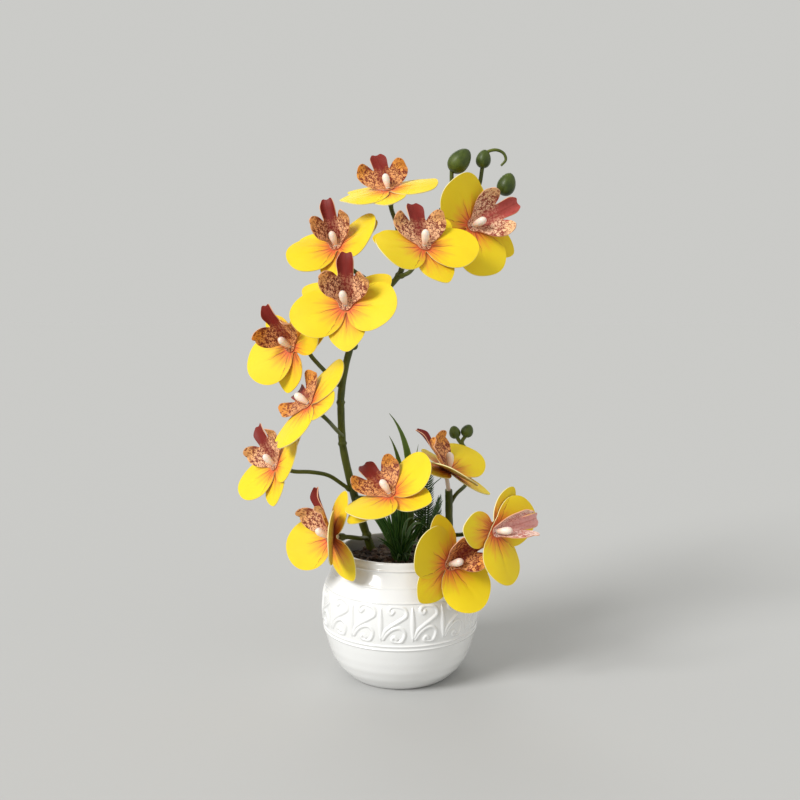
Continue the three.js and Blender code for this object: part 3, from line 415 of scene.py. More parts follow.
def lip_print(name, ground, rim, dark, flame):
    """Print of both faces of a lip: dark middle lobe, side lobes netted and spotted in dark red."""
    n = Nodes(name, {"Roughness": 0.55, "Specular IOR Level": 0.30, **translucent(0.06, (1.0, 0.4, 0.2))})
    u, v = n.uv()
    across, along = n.mul(u, 1 / UV_SCALE), n.mul(v, 1 / UV_SCALE)
    side = n.math("ABSOLUTE", across)
    reach = radius_of(n, u, v)
    where = n.combine(across, along)
    warp = n.noise(0.30, 3.0, where)
    other = n.noise(0.30, 3.0, (along, across, 7.0))
    fan = n.swing(warp, 4.0, n.mul(n.math("ARCTAN2", u, v), 7.0))
    out = n.swing(other, 3.4, n.mul(reach, 0.25))
    net = n.step(n.cells(1.0, (fan, out), "DISTANCE_TO_EDGE"), 0.165, 0.085)
    spots = n.step(n.cells(0.62, (across, along, 5.0)), 0.36, 0.22)
    broken = n.step(n.noise(0.60, 2.0, (across, along, 2.0)), 0.38, 0.46)
    net = n.mul(net, n.step(n.mad(warp, 8.0, reach), 33.0, 27.0), broken)
    marks = n.math("MAXIMUM", net, n.mul(spots, n.step(reach, 14.0, 19.0), 0.85))
    base = n.mix(ground, rim, n.step(n.math("ADD", reach, n.mul(warp, 6.0)), 20.0, 28.0))
    colour = n.mix(base, dark, marks, 0.96)
    throat = n.mul(n.step(side, 7.0, 2.5), n.step(along, 3.0, 9.0))
    colour = n.mix(colour, flame, throat, 0.74)
    solid = n.mul(n.step(n.mad(warp, 6.0, along), 21.0, 25.5), n.step(side, 11.0, 8.5))
    colour = n.mix(colour, flame, solid)
    mottle = n.step(n.noise(0.5, 3.0, where), 0.45, 0.75)
    colour = n.mix(colour, dark, solid, mottle, 0.40)
    midrib = n.mul(n.step(side, 0.8, 0.2), n.step(along, 6.0, 12.0))
    colour = n.mix(colour, dark, midrib, 0.40)
    n.bump(n.mad(midrib, -0.8, n.noise(2.2, 3.0, where)), 0.35, 0.2)
    return n.finish(colour)


def column_material():
    """Ivory plastic, flushed where the bean meets the lip."""
    n = Nodes("column_ivory", {"Roughness": 0.38, "Coat Weight": 0.15, **translucent(0.3, (1.0, 0.5, 0.3))})
    patch = n.noise(420.0)
    colour = n.mix((0.90, 0.80, 0.70), (0.86, 0.70, 0.60), patch)
    colour = n.mix(colour, (0.88, 0.55, 0.36), n.step(n.uv()[0], 0.05, 0.0))
    n.bump(patch, 0.12, 0.15)
    return n.finish(colour)


def stem_material(name, light, dark, scale=60.0):
    """Moulded green plastic with streaks along the stem and mottled colour."""
    n = Nodes(name, PLASTIC)
    along, turn = n.uv()
    streak = n.noise(1.0, 3.0, (n.mul(along, 12.0), n.mul(turn, 9.0)))
    patch = n.noise(scale, 4.0)
    colour = n.mix(dark, light, n.step(patch, 0.35, 0.7))
    colour = n.mix(colour, scaled(light, 1.5), n.step(streak, 0.45, 0.75), 0.35)
    n.bump(n.mad(streak, 0.8, n.noise(900.0)), 0.4, 0.25)
    return n.finish(colour, n.mad(patch, 0.25, 0.32))


def blade_material(name, middle, edge):
    """Plastic leaf whose edges are painted lighter as a painted highlight; the second uv number runs from one edge
    to the other.
    """
    n = Nodes(name, LEAF)
    turn = n.uv()[1]
    to_edge = n.mul(n.math("ABSOLUTE", n.sub(turn, 0.5)), 2.0)
    patch = n.noise(140.0)
    # the lighter edge colour is a painted highlight along both edges of the blade
    colour = n.mix(middle, edge, n.step(to_edge, 0.55, 0.98))
    colour = n.mix(colour, scaled(middle, 0.40), patch, 0.40)
    n.bump(n.mad(n.math("SINE", n.mul(turn, 40.0)), 0.4, patch), 0.3, 0.15)
    return n.finish(colour)


def bark_material(name, tone):
    n = Nodes(name, {"Roughness": 0.88})
    grain = n.noise(240.0, 6.0, roughness=0.65)
    coarse = n.noise(60.0, 4.0)
    colour = n.mix(scaled(tone, 0.45), tone, n.step(coarse, 0.35, 0.65))
    colour = n.mix(colour, scaled(tone, 2.1), n.step(grain, 0.55, 0.8))
    n.bump(n.mad(coarse, 0.6, grain), 0.8, 0.8)
    return n.finish(colour)


def glaze_material():
    """Thick white glaze with faint patches and pits."""
    n = Nodes("white_glaze", {"Coat Weight": 0.6, "Coat Roughness": 0.06, "IOR": 1.5})
    patch = n.noise(14.0, 4.0)
    pits = n.step(n.cells(380.0), 0.10, 0.03)
    colour = n.mix((0.815, 0.815, 0.800), (0.870, 0.870, 0.860), patch)
    colour = n.mix(colour, (0.60, 0.57, 0.52), pits, 0.35)
    n.bump(n.mad(pits, -0.35, n.mad(n.noise(260.0), 0.25, patch)), 0.16, 0.5)
    return n.finish(colour, n.mad(patch, 0.14, 0.14))


def foam_material():
    n = Nodes("planting_foam", {"Roughness": 0.95})
    n.bump(n.cells(900.0), 0.7, 0.4)
    return n.finish(n.mix((0.62, 0.58, 0.48), (0.74, 0.71, 0.62), n.noise(60.0)))


PETAL_FRONT = lobe_front("petal_front", 23.0, 0.95, 8.0, ROSE, 11.0)
SEPAL_FRONT = lobe_front("sepal_front", 29.0, 1.0, 9.0, UMBER, 17.0)
PETAL_BACK = lobe_back()
CUT_EDGE = fibre_edge("cut_edge", 0.75, 2600.0, CREAM, (0.78, 0.66, 0.24))
# ground, rim, marks and middle lobe
LIPS = {
    dye: lip_print(f"lip_{dye}", *colours)
    for dye, colours in {
        "tan": ((0.80, 0.360, 0.130), (0.76, 0.310, 0.050), (0.165, 0.011, 0.005), (0.210, 0.013, 0.006)),
        "rose": ((0.84, 0.53, 0.340), (0.86, 0.54, 0.280), (0.250, 0.030, 0.016), (0.450, 0.075, 0.060)),
        "pink": ((0.87, 0.67, 0.580), (0.88, 0.68, 0.580), (0.480, 0.130, 0.100), (0.800, 0.420, 0.380)),
        "peach": ((0.87, 0.470, 0.250), (0.84, 0.430, 0.160), (0.170, 0.013, 0.007), (0.205, 0.014, 0.008)),
    }.items()
}
LIP_EDGE = fibre_edge("lip_edge", 0.7, 1500.0, (0.60, 0.24, 0.12), (0.80, 0.48, 0.30))
COLUMN = column_material()
STEM = stem_material("stem_green", (0.110, 0.130, 0.011), (0.050, 0.068, 0.005))
BUD = stem_material("bud_green", (0.075, 0.105, 0.008), (0.026, 0.046, 0.003), 90.0)
# each green's second colour is its lighter edge, a painted highlight
GRASS = blade_material("grass_green", (0.030, 0.110, 0.018), (0.17, 0.34, 0.075))
GRASS_TALL = blade_material("grass_tall", (0.095, 0.170, 0.018), (0.22, 0.33, 0.055))
# a lighter copy of the grass green, painted for blades that catch the light: a painted highlight
GRASS_PAINTED_HIGHLIGHT = blade_material("grass_painted_highlight", (0.13, 0.27, 0.12), (0.38, 0.52, 0.30))
FERN = blade_material("fern_green", (0.024, 0.085, 0.012), (0.15, 0.29, 0.045))
BARK = {"brown": (0.115, 0.062, 0.040), "dark": (0.050, 0.028, 0.020), "grey": (0.190, 0.135, 0.105)}
BARK_TONES = [bark_material(f"bark_{name}", tone) for name, tone in BARK.items()]
GLAZE = glaze_material()
FOAM = foam_material()

# --- Blooms ---
PETAL_THICK = SHEET * 0.8
LIP_THICK = SHEET * 0.75
SHEET_SMOOTH = 50
LOBE_POINTS = 57
PETAL_RINGS = 18
SEPAL_RINGS = 16
LIP_RINGS = 18
LIP_SPOKES = ((0, 30, 46), (32, 90, 24), (98, 180, 9))  # directions from, to and count
CLAW = (HUB_RADIUS - 2.5, 4.0)  # where a lobe starts to fold, and over what width
SEPAL_SEED, PETAL_SEED = 100, 200
# directions from the lip's middle line and reaches; its clefts are deeper than in the solids
LIP_OUTLINE = (
    (0, 34.5), (2, 34.8), (4, 35.5), (5.8, 35.5), (7.4, 34.4), (9.6, 32.8), (11.8, 30.8), (13, 28.4),
    (13.7, 25.8), (14.4, 23.6), (15.3, 21.7), (16.4, 20.8), (17.8, 20.6), (19.2, 21.6), (21, 23.7), (23.5, 25.8),
    (26.5, 27.3), (30, 28.3), (35, 28.6), (40, 28.7), (44, 28.5), (48, 27.9), (52, 26.7), (56, 24.8), (60, 21.9),
    (64, 17.8), (67, 14), (70, 11), (74, 8.4), (80, 6.5), (90, 5), (120, 4.6), (180, 4.5),
)
BEAN_SHARES = (0, 0.08, 0.25, 0.5, 0.72, 0.86, 0.94, 0.985, 1)
BEAN_RADII = (1.2, 1.7, 2.05, 2.65, 2.8, 2.35, 1.6, 0.8, 0.1)


def bloom_matrix(bloom):
    pitch, yaw, roll = (rad(a) for a in bloom.turn)
    turned = (
        Matrix.Rotation(roll, 4, "Y")
        @ Matrix.Rotation(yaw, 4, "Z")
        @ Matrix.Rotation(-pitch, 4, "X")
        @ Matrix.Rotation(pi / 2, 4, "X")
    )
    return Matrix.Translation(bloom.at) @ turned @ Matrix.Scale(bloom.size, 4)


def to_world(matrix, points):
    m = np.array(matrix)
    return np.asarray(points, float) @ m[:3, :3].T + m[:3, 3]


def fold(along, lift, start, width):
    """Reach and rise of a sheet that bends up smoothly by lift, over width, from start."""
    past = np.maximum(0.0, along - start)
    turn = max(abs(lift), 1e-4)
    inside = np.minimum(past, width)
    reach = width / turn * np.sin(turn * inside / width)
    rise = width / turn * (1 - np.cos(turn * inside / width))
    beyond = np.maximum(0.0, past - width)
    reach = reach + beyond * cos(turn)
    rise = (rise + beyond * sin(turn)) * (1 if lift >= 0 else -1)
    return along - past + reach, rise


def lobe_spokes(lobes, spacing, valley):
    """Edge of a sheet of oval lobes: direction, reach and lobe number for each spoke, counter-clockwise.
    Each lobe is (direction, centre distance, half length, half width), in order of direction."""
    spokes = []
    for i, (turn, centre, long_half, wide_half) in enumerate(lobes):
        sweep = np.radians(np.linspace(-LOBE_SWEEP, LOBE_SWEEP, LOBE_POINTS))
        x = centre + long_half * np.cos(sweep)
        y = wide_half * np.sin(sweep)
        own = np.arctan2(y, x)
        reach = np.hypot(x, y)
        after = (lobes[(i + 1) % len(lobes)][0] - turn) % 360
        before = (turn - lobes[i - 1][0]) % 360
        keep = (own < rad(after / 2) - 0.01) & (own > -rad(before / 2) + 0.01)
        spokes += [(rad(turn) + a, r, i) for a, r in zip(own[keep], reach[keep])]
    out = []
    for k, (angle, reach, i) in enumerate(spokes):
        out.append((angle, reach, i))
        next_angle, next_reach, next_i = spokes[(k + 1) % len(spokes)]
        if next_i == i:
            continue
        span = (next_angle - angle) % FULL_TURN
        steps = max(1, int(degrees(span) / spacing))
        low = min(valley, reach, next_reach)
        for s in range(1, steps):
            t = s / steps
            dip = low + (reach * (1 - t) + next_reach * t - low) * abs(2 * t - 1) ** 3
            out.append((angle + span * t, dip, i if t < 0.5 else next_i))
    return out


def sheet_piece(name, matrix, columns, thickness, materials):
    """A closed sheet from the spokes of its middle surface. Each spoke has x, y and z of its folded points in
    the bloom's own axes, and x and y of its flat ones."""
    grid = np.stack([np.stack(column, 1) for column in columns], 1)
    middle, uv = grid[:, :, :3], grid[:, :, 3:].reshape(-1, 2) * UV_SCALE
    rings, spokes, _ = middle.shape
    around = (np.roll(middle, -1, axis=1) - np.roll(middle, 1, axis=1)) / 2
    normal = unit(np.cross(np.gradient(middle, axis=0), around))
    sides = [(middle + half * normal).reshape(-1, 3) for half in (thickness / 2, -thickness / 2)]
    total = rings * spokes
    faces = grid_faces(rings, spokes, flip=True)
    marks = [0] * len(faces) + [1] * len(faces) + [2] * (2 * spokes)
    faces += [tuple(v + total for v in face[::-1]) for face in faces]
    for ring, flip in ((0, False), (rings - 1, True)):
        for c in range(spokes):
            a, b = ring * spokes + c, ring * spokes + (c + 1) % spokes
            quad = (a, b, b + total, a + total)
            faces.append(quad[::-1] if flip else quad)
    points = to_world(matrix, np.vstack(sides))
    return add_mesh(name, points, faces, materials, marks, np.vstack([uv, uv]), SHEET_SMOOTH)


def ring_shares(count):
    """Shares of the way out, closer together near the edge."""
    return 1 - (1 - np.linspace(0, 1, count)) ** 1.25


def lobed_sheet(name, bloom, lobes, spacing, valley, rings, shape, front):
    """A sheet of lobes. For one spoke, shape gives x and y of its flat points, and x and z of the folded ones,
    in the axes of the spoke's lobe."""
    columns = []
    for angle, reach, i in lobe_spokes(lobes, spacing, valley):
        turn = rad(lobes[i][0])
        x, y, forward, z = shape(angle - turn, reach, i, ring_shares(rings))
        c, s = cos(turn), sin(turn)
        columns.append((forward * c - y * s, forward * s + y * c, z, x, y))
    return sheet_piece(name, bloom_matrix(bloom), columns, PETAL_THICK, [front, PETAL_BACK, CUT_EDGE])


def petals_piece(name, bloom, seed):
    """Two round petals in one sheet, folded forward, with a slight crown, soft waves and embossed ribs."""
    wave = np.random.default_rng(seed).uniform(0, FULL_TURN, 4)
    turns = (bloom.droop[1], 180 - bloom.droop[0])

    def shape(own, reach, i, shares):
        lift = rad(bloom.lift[1 - i])
        ripple = 1 + 0.012 * sin(5 * own + wave[0]) + 0.008 * sin(9 * own + wave[1])
        ripple = ripple if reach > 12 else 1
        r = HOLE_RADIUS + (reach - HOLE_RADIUS) * shares * ripple
        x, y = r * cos(own), r * sin(own)
        forward, rise = fold(x, lift, *CLAW)
        out = ramp(np.hypot(x, y), 7, 30)
        crown = -1.5 * (y / PETAL_RADIUS) ** 2 * ramp(x, 4, 12) - 1.1 * out**3
        groove = 0.35 * bell(y, 1.4) * ramp(x, 4, 6) * ramp(34 - x, 0, 14)
        edge = out**2 * (0.45 * np.sin(4 * own + wave[2]) + 0.30 * np.sin(7 * own + wave[3]))
        relief = crown - groove + edge
        return x, y, forward - relief * sin(lift), PETAL_LAYER + rise + relief * cos(lift)

    lobes = [(turn, PETAL_CENTRE, PETAL_RADIUS, PETAL_RADIUS) for turn in turns]
    return lobed_sheet(name, bloom, lobes, 3.5, HUB_RADIUS + 0.9, PETAL_RINGS, shape, PETAL_FRONT)


def sepals_piece(name, bloom, seed):
    """Three pointed sepals in one sheet, bent slightly back at their tips."""
    wave = np.random.default_rng(seed).uniform(0, FULL_TURN, 3)
    order = sorted((turn - bloom.twist, length, width) for turn, length, width in SEPALS)

    def shape(own, reach, i, shares):
        turn, length, width = order[i]
        tip = 1 + 0.035 * bell(own, 0.13) - 0.03 * bell(abs(own) - 0.32, 0.2)
        r = HOLE_RADIUS + (reach * tip - HOLE_RADIUS) * shares
        x, y = r * cos(own), r * sin(own)
        out = ramp(x, 5, length - 5)
        bend = -1.3 * out**2 + 0.4 * out * sin(3 * own + wave[0])
        channel = 0.9 * (y / (width / 2)) ** 2 * out - 0.4 * bell(y, 1.2) * ramp(x, 4, 6) * (1 - out)
        lowest = turn + bloom.twist < 0
        forward, rise = fold(x, -rad(bloom.back) if lowest else 0.0, *CLAW)
        return x, y, forward, SEPAL_LAYER + rise + SEPAL_RISE * x + bend - np.abs(channel) * 0.5

    lobes = [(turn, length / 2 + 1.5, length / 2 - 1.5, width / 2) for turn, length, width in order]
    return lobed_sheet(name, bloom, lobes, 4.0, 6.8, SEPAL_RINGS, shape, SEPAL_FRONT)


def lip_piece(name, bloom):
    """Three-lobed lip: side lobes folded up, middle lobe channelled, the whole tilted forward."""
    tilt = rad(bloom.lip)
    directions, reaches = np.array(LIP_OUTLINE, float).T
    half = np.radians(np.concatenate([np.linspace(*row) for row in LIP_SPOKES]))
    angles = np.concatenate([-half[:0:-1], half[:-1]])
    reach = np.interp(np.abs(angles), np.radians(directions), reaches)
    columns = []
    for angle, far in zip(angles, reach):
        r = HOLE_RADIUS + (far - HOLE_RADIUS) * ring_shares(LIP_RINGS)
        across, along = r * sin(angle), r * cos(angle)
        side = 0 if angle < 0 else 1
        steep = atan(tan(rad(bloom.lift[side])) / cos(tilt)) + rad(bloom.cup[side])
        x, rise = fold(np.abs(across), steep, LIP_FOLD - 1.5, 3.0)
        outer = ramp(np.abs(across), 6, 14)
        tongue = ramp(along, 19, 8)
        rise = rise + 0.9 * outer**2 * ramp(along, 0, 12) + tongue * (0.038 * across**2 - 0.5)
        rise = rise + 0.5 * bell(across, 1.1) * ramp(along, 5, 6) * (1 - tongue)
        rise = rise - 1.8 * ramp(along, 27, 8) ** 2
        y, z = fold(along, tilt, 0.0, 2 * LIP_BEND)
        lean = tilt * ramp(along, 0, 2 * LIP_BEND)
        x = np.sign(across) * (x - 1.1 * outer**2)
        columns.append((x, y - rise * np.sin(lean), LIP_LAYER + z + rise * np.cos(lean), across, along))
    matrix = bloom_matrix(bloom) @ Matrix.Rotation(rad(bloom.lip_twist), 4, "Z")
    materials = [LIPS[bloom.dye], LIPS[bloom.dye], LIP_EDGE]
    return sheet_piece(name, matrix, columns[::-1], LIP_THICK, materials)


def socket_of(index):
    """Centre and facing of a bloom, and the mouth and axis of the stem end that carries it."""
    matrix = bloom_matrix(BLOOMS[index])
    centre = np.array(matrix.translation)
    facing = np.array((matrix.to_3x3() @ Vector((0, 0, 1))).normalized())
    if index != LONG_STALK:
        return centre, facing, centre - facing * SOCKET_DISTANCE, facing
    axis = np.array(LONG_STALK_AXIS) / np.linalg.norm(LONG_STALK_AXIS)
    return centre, facing, np.array(LONG_STALK_MOUTH, float), axis


def column_piece(name, index):
    """Ivory bean with a rounded tip, on the stalk that goes back into its stem end."""
    bloom = BLOOMS[index]
    centre, facing, mouth, axis = socket_of(index)
    c, s = cos(rad(COLUMN_LEAN)), sin(rad(COLUMN_LEAN))
    t = np.linspace(0, 1, 26)
    distance = t * (COLUMN_LENGTH + 0.4)
    bow = 0.7 * np.sin(np.pi * t)
    bean = np.stack([0 * t, distance * c - bow * s, COLUMN_LAYER - 0.9 + distance * s + bow * c * 0.6], 1)
    radii = np.interp(t, BEAN_SHARES, BEAN_RADII) * bloom.size
    body = Collector()
    body.add(*loft(to_world(bloom_matrix(bloom), bean), radii, 22))
    route = [centre - facing * 2]
    if index == LONG_STALK:
        route = [centre, centre - facing * 3.5, LONG_STALK_BEND, mouth]
    line = smooth_line([centre + facing * 1.5, *route, mouth - axis * (SOCKET_DEPTH - GAP)], 8)
    body.add(*loft(line, np.full(len(line), STALK_RADIUS), 16, uv_start=0.1))
    return body.make(name, [COLUMN])


for index, bloom in enumerate(BLOOMS):
    label = f"bloom_{index + 1:02d}"
    for part, slot, piece in (
        ("sepals", "petal", sepals_piece(f"{label}_sepal_sheet", bloom, SEPAL_SEED + index)),
        ("petals", "petal", petals_piece(f"{label}_petal_sheet", bloom, PETAL_SEED + index)),
        ("lip", "lip", lip_piece(f"{label}_printed_lip", bloom)),
        ("column", "column", column_piece(f"{label}_bean", index)),
    ):
        settle(piece, slot, f"{label}_{part}")

# --- Spikes ---
TALL_SPIKE = (
    (-7, 28, 36, 3), (-14, 26, 59, 3), (-21, 24, 82, 3), (-24.5, 23, 93.5, 3), (-28, 22, 105, 3),
    (-36, 18, 135, 2.9), (-41, 14, 161, 2.7), (-41.4, 13.6, 165, 2.7), (-42, 10, 191, 2.6), (-42, 9.8, 195, 2.6),
    (-39, 8, 216, 2.5), (-34, 6, 234, 2.4), (-24, 2, 255, 2.2), (-12, -2, 270, 2.1), (-1, -6, 282, 2.1),
    (3, -6, 291, 1.9), (12, -5, 306, 1.8), (23, -3, 319.5, 1.7), (30.5, -1, 330, 1.5),
)
SHORT_SPIKE = (
    (37, 11, 38, 2.8), (36.5, 10.5, 58, 2.8), (36, 10, 78, 2.8), (35.5, 9, 95, 2.8), (35, 8, 112, 2.7),
    (34.7, 6, 126, 2.7), (*LONG_STALK_MOUTH, 2.6),
)
TALL_PEDICELS = {
    0: ((2, -6.5, 290), (0, -1, 305), (-3, 2, 319)),
    1: ((-12, -2, 270), (-24, 7, 280), (-34, 4, 287)),
    2: ((-34, 6, 234), (-32, -7, 240), (-31, -20, 248)),
    3: ((-1, -6, 281), (6, -14, 284), (10, -25, 289)),
    4: ((23, -3, 319.5), (35, 3, 316.5)),
    5: ((-42, 10, 204), (-52, 8, 214.5), (-61, 4, 225)),
    6: ((-41, 13.5, 168), (-45, -3, 176)),
    7: ((-35, 19, 127), (-42, 14, 133.5), (-51, 7, 141), (-63, -1, 145)),
    8: ((-33, 20, 122), (-24, 9, 124), (-12, -14, 120)),
    9: ((-24, 23, 91), (-26, 5, 96), (-28, -15, 101)),
}
SHORT_PEDICELS = {
    11: ((35.5, 9, 97), (44, 3, 99), (51, -10, 105), (51.5, -30, 112)),
    12: ((35.5, 9, 98), (34, -8, 102), (29, -28, 99)),
}
BUD_STALKS = (
    ((30.5, -1, 329), (34.5, -1, 340), (35, -2, 353)),
    ((30.5, -1, 329), (44, 4, 333.5), (53.5, 6, 342), (56.5, 5, 356)),
    ((44, 4, 333.5), (60, 8, 338), (70, 5, 341.5)),
)
SHORT_BUD_STALKS = (
    ((35, 7.5, 118), (39, 9, 125.5), (48, 22, 131.5), (52.5, 34, 138.5), (52, 39, 146), (48.5, 40, 155),
     (44, 40, 160.5), (42, 40, 164)),
    ((48.5, 40, 154.5), (46, 40, 159.5), (49, 40, 165)),
)
# centre, half length, half width and lean to the right; the last one is the knob at a joint
TALL_BUDS = (
    ((40.4, -3, 359), 9.3, 7.0, 40), ((57, 4, 361), 6.3, 5.1, 10), ((73, 4, 344), 8.0, 6.3, 20),
    ((-32.5, 3.5, 234), 3.6, 3.2, 0),
)
SHORT_BUDS = (((40.5, 40, 167), 4.9, 4.2, -15), ((49.9, 40, 168), 5.0, 4.6, 25))
TENDRIL = (
    (57, 4, 364, 1.15), (61, 4, 366.4, 1.1), (66, 4, 367, 1.05), (70.7, 4, 364.7, 1.0), (72.2, 4, 360.6, 0.95),
    (69, 4, 356.5, 0.8),
)
TALL_JOINTS = (93.5, 163, 193, 234, 282)
SHORT_JOINTS = (95,)
# distance behind the socket's mouth, and radius
COLLAR = ((5.2, 1.75), (4.5, 2.25), (3.8, 2.5), (2.5, 2.55), (1.2, 2.5), (0.4, 2.6), (0.0, 2.5))
JOINT_SWELL = 0.55


def with_radius(points, radius):
    return [(*p, radius) for p in points]


def add_stem(body, points, joints=()):
    """A moulded stem whose radius follows the fourth number, with a raised ring at each joint height."""
    line = smooth_line(points, 10)
    centres, radii = line[:, :3], line[:, 3].copy()
    for height in joints:
        near = np.argmin(np.abs(centres[:, 2] - height))
        away = np.linalg.norm(centres - centres[near], axis=1)
        radii += JOINT_SWELL * bell(away, 1.3) - 0.25 * bell(away - 2.6, 0.7)
    wobble = 1 + 0.02 * np.sin(np.arange(len(radii)) * 0.9)
    body.add(*loft(centres, radii * wobble, 20, 0.035))


def add_pedicel(body, points, index):
    """A side stem that ends in a flared, cupped collar behind its bloom."""
    _, _, mouth, axis = socket_of(index)
    route = with_radius([*points, mouth - axis * 8], PEDICEL_RADIUS)
    line = smooth_line(route + [(*(mouth - axis * 6), PEDICEL_RADIUS * 1.05)], 8)
    away = np.linalg.norm(line[:, :3] - line[0, :3], axis=1)
    line[:, 3] += 0.7 * bell(away - 3.4, 1.1)
    line = np.vstack([line, [(*(mouth - axis * back), radius) for back, radius in COLLAR]])
    body.add(*loft(line[:, :3], line[:, 3], 16, 0.03, 4))


def add_bud(body, at, length, width, lean):
    """An egg-shaped bud with three shallow seams, blunt below and a little pointed above."""
    turn = np.array(Matrix.Rotation(rad(lean), 3, "Y"))
    rows, sides = 22, 30
    points, uv = [], []
    for r in range(rows):
        t = pi * (r + 0.5) / rows
        up = -cos(t)
        reach = width * sin(t) * (1 - 0.16 * up)
        for k in range(sides):
            a = FULL_TURN * k / sides
            seam = 1 - 0.055 * bell(sin(1.5 * a + 0.4), 0.22) * sin(t)
            p = np.array([reach * seam * cos(a), reach * seam * sin(a), up * length])
            points.append(turn @ p + at)
            uv.append((up * length * UV_SCALE, k / sides))
    points += [turn @ np.array([0, 0, up * length]) + at for up in (-1, 1.03)]
    body.add(points, pointed_faces(rows, sides), uv + [(0, 0.5)] * 2, 1)


def add_spike(name, node, spine, joints, pedicels, bud_stalks, buds, tendrils=()):
    body = Collector()
    add_stem(body, spine, joints)
    for index, points in pedicels.items():
        add_pedicel(body, points, index)
    for points in [*(with_radius(stalk, BUD_STALK_RADIUS) for stalk in bud_stalks), *tendrils]:
        add_stem(body, points)
    for bud in buds:
        add_bud(body, *bud)
    settle(body.make(name, [STEM, BUD]), "stem", node)


add_spike(
    "tall_spike_stems", "spike_tall", TALL_SPIKE, TALL_JOINTS, TALL_PEDICELS, BUD_STALKS, TALL_BUDS, [TENDRIL],
)
add_spike(
    "short_spike_stems", "spike_short", SHORT_SPIKE, SHORT_JOINTS, SHORT_PEDICELS, SHORT_BUD_STALKS, SHORT_BUDS,
)

# --- Grass tuft ---
TUFT_AT = (1, -3)
TUFT_BASE = 84
TUFT_BLADES = 96
TUFT_REACH = (5, 31)
TUFT_RISE = (48, 33)
BLADE_TURN = 137.5  # from each blade to the next, degrees
FERN_SECTOR = (-15, 65)  # the short blades leave this sector to the fern, degrees
FRONT = (0.0, -1.0, 0.0)
# the second blade material is the lighter, painted-highlight copy of the grass green
DEEP, HIGHLIGHTED, TALL = 0, 1, 2  # materials of the blades
BLADE_ROWS = 15
# share of the half width, and how far the points are raised over the blade's line
BLADE_SECTION = (
    (-1, 0.10), (-0.5, -0.32), (0, -0.62), (0.5, -0.32), (1, 0.10), (0.5, -0.02), (0, -0.25), (-0.5, -0.02),
)
# tall blades, which face the front: knee, tip and width
TALL_BLADES = (
    ((16, -1, 160), (-7.5, 0, 186.5), 6.2), ((6, 0, 148), (-7.6, 0, 170.5), 5.2), ((6, 1, 130), (13, 3, 164), 3.6),
    ((13, 2, 140), (6, 4, 158), 3.8),
)
# arched blades: direction, reach, height of the knee and of the tip over the bark, and material
ARCHED_BLADES = (
    (-28, 18, 33, 24, TALL), (-10, 23, 30, 19, TALL), (-140, 16, 25, 15, DEEP),
    (-62, 14, 14, 6, HIGHLIGHTED), (-40, 17, 12, 3, HIGHLIGHTED), (-84, 34, 8, 8.5, HIGHLIGHTED), (-95, 33, 7, 8, HIGHLIGHTED),
    (-77, 31, 7, 9.5, HIGHLIGHTED), (-22, 20, 16, 6, HIGHLIGHTED),
)
# blades in the painted-highlight green that arch in front of the tuft: knee and tip
HIGHLIGHTED_ARCS = (((2, -14, 119), (9.5, -15, 115)), ((6, -15, 121), (18.5, -16, 109)), ((8, -18, 105), (14, -20, 96)))
SHOOTS = 9
CORE_LEVELS = (77, 87)  # of the rooted cores of the tuft and the fern
x0, y0 = TUFT_AT


def from_tuft(turn, distance, z):
    return (x0 + distance * cos(turn), y0 + distance * sin(turn), z)


def add_blade(body, base, knee, tip, width, channel, curl, material, roll=0.0, outward=None):
    """A narrow leaf with a sunken middle line, along a bent line, tapering to its tip. Its face looks outward,
    turned by roll about the leaf's own line and by curl more towards the tip."""
    base, knee, tip = (np.array(p, float) for p in (base, knee, tip))
    share = np.linspace(0, 1, BLADE_ROWS)[:, None]
    line = bent(base, knee, tip, share)
    tangent = unit(np.gradient(line, axis=0))
    if outward is None:
        outward = np.array([tip[0] - base[0], tip[1] - base[1], 0.0]) + 1e-6
    outward = unit(np.array(outward))
    side = unit(np.cross(tangent, outward))
    face = np.cross(side, tangent)
    c, s = np.cos(roll + curl * share), np.sin(roll + curl * share)
    side, face = side * c + face * s, face * c - side * s
    half = width / 2 * (1 - 0.92 * share**2.4) * (0.60 + 0.55 * np.sin(pi * np.minimum(1, share + 0.02)))
    sunk = face * (channel * (1 - 0.7 * share))
    points = np.stack([line + side * half * across + sunk * sink for across, sink in BLADE_SECTION], 1)
    uv = [(row, (across + 1) / 2) for row in share[:, 0] for across, _ in BLADE_SECTION]
    body.add(points.reshape(-1, 3), capped_faces(BLADE_ROWS, len(BLADE_SECTION)), uv, material)


def add_rooted_core(body, at, radius):
    line = np.array([[*at, z] for z in np.linspace(*CORE_LEVELS, 6)])
    body.add(*loft(line, np.full(6, radius), 18, 0.08, 7))


tuft = Collector()
open_turn = 360 - (FERN_SECTOR[1] - FERN_SECTOR[0])
for i in range(TUFT_BLADES):
    azimuth = rad(FERN_SECTOR[1] + (i * BLADE_TURN) % open_turn)
    share = (i + 0.5) / TUFT_BLADES
    reach = between(TUFT_REACH, share) * chance(0.85, 1.05)
    rise = between(TUFT_RISE, share) * chance(0.80, 1.08)
    rise *= 1 - 0.38 * max(0.0, -sin(azimuth)) * share
    level = TUFT_BASE + 5 * rng.random() * (1 - share)
    bow = azimuth + chance(-0.25, 0.25)
    base = from_tuft(azimuth, chance(0.8, 5.0), level - 4)
    knee = from_tuft(azimuth, reach * 0.46, level + rise * 0.60)
    width, curl, roll = chance(2.4, 3.4), chance(-0.4, 0.4), chance(-0.7, 0.7)
    outward = (0.55 * cos(azimuth), 1.0 if sin(azimuth) > 0.5 else -1.0, 0.0)
    add_blade(tuft, base, knee, from_tuft(bow, reach, level + rise), width, 1.2, curl, DEEP, roll, outward)
for knee, tip, width in TALL_BLADES:
    add_blade(tuft, (x0 + 2, y0, TUFT_BASE), knee, tip, width, 1.5, 0.2, TALL, outward=FRONT)
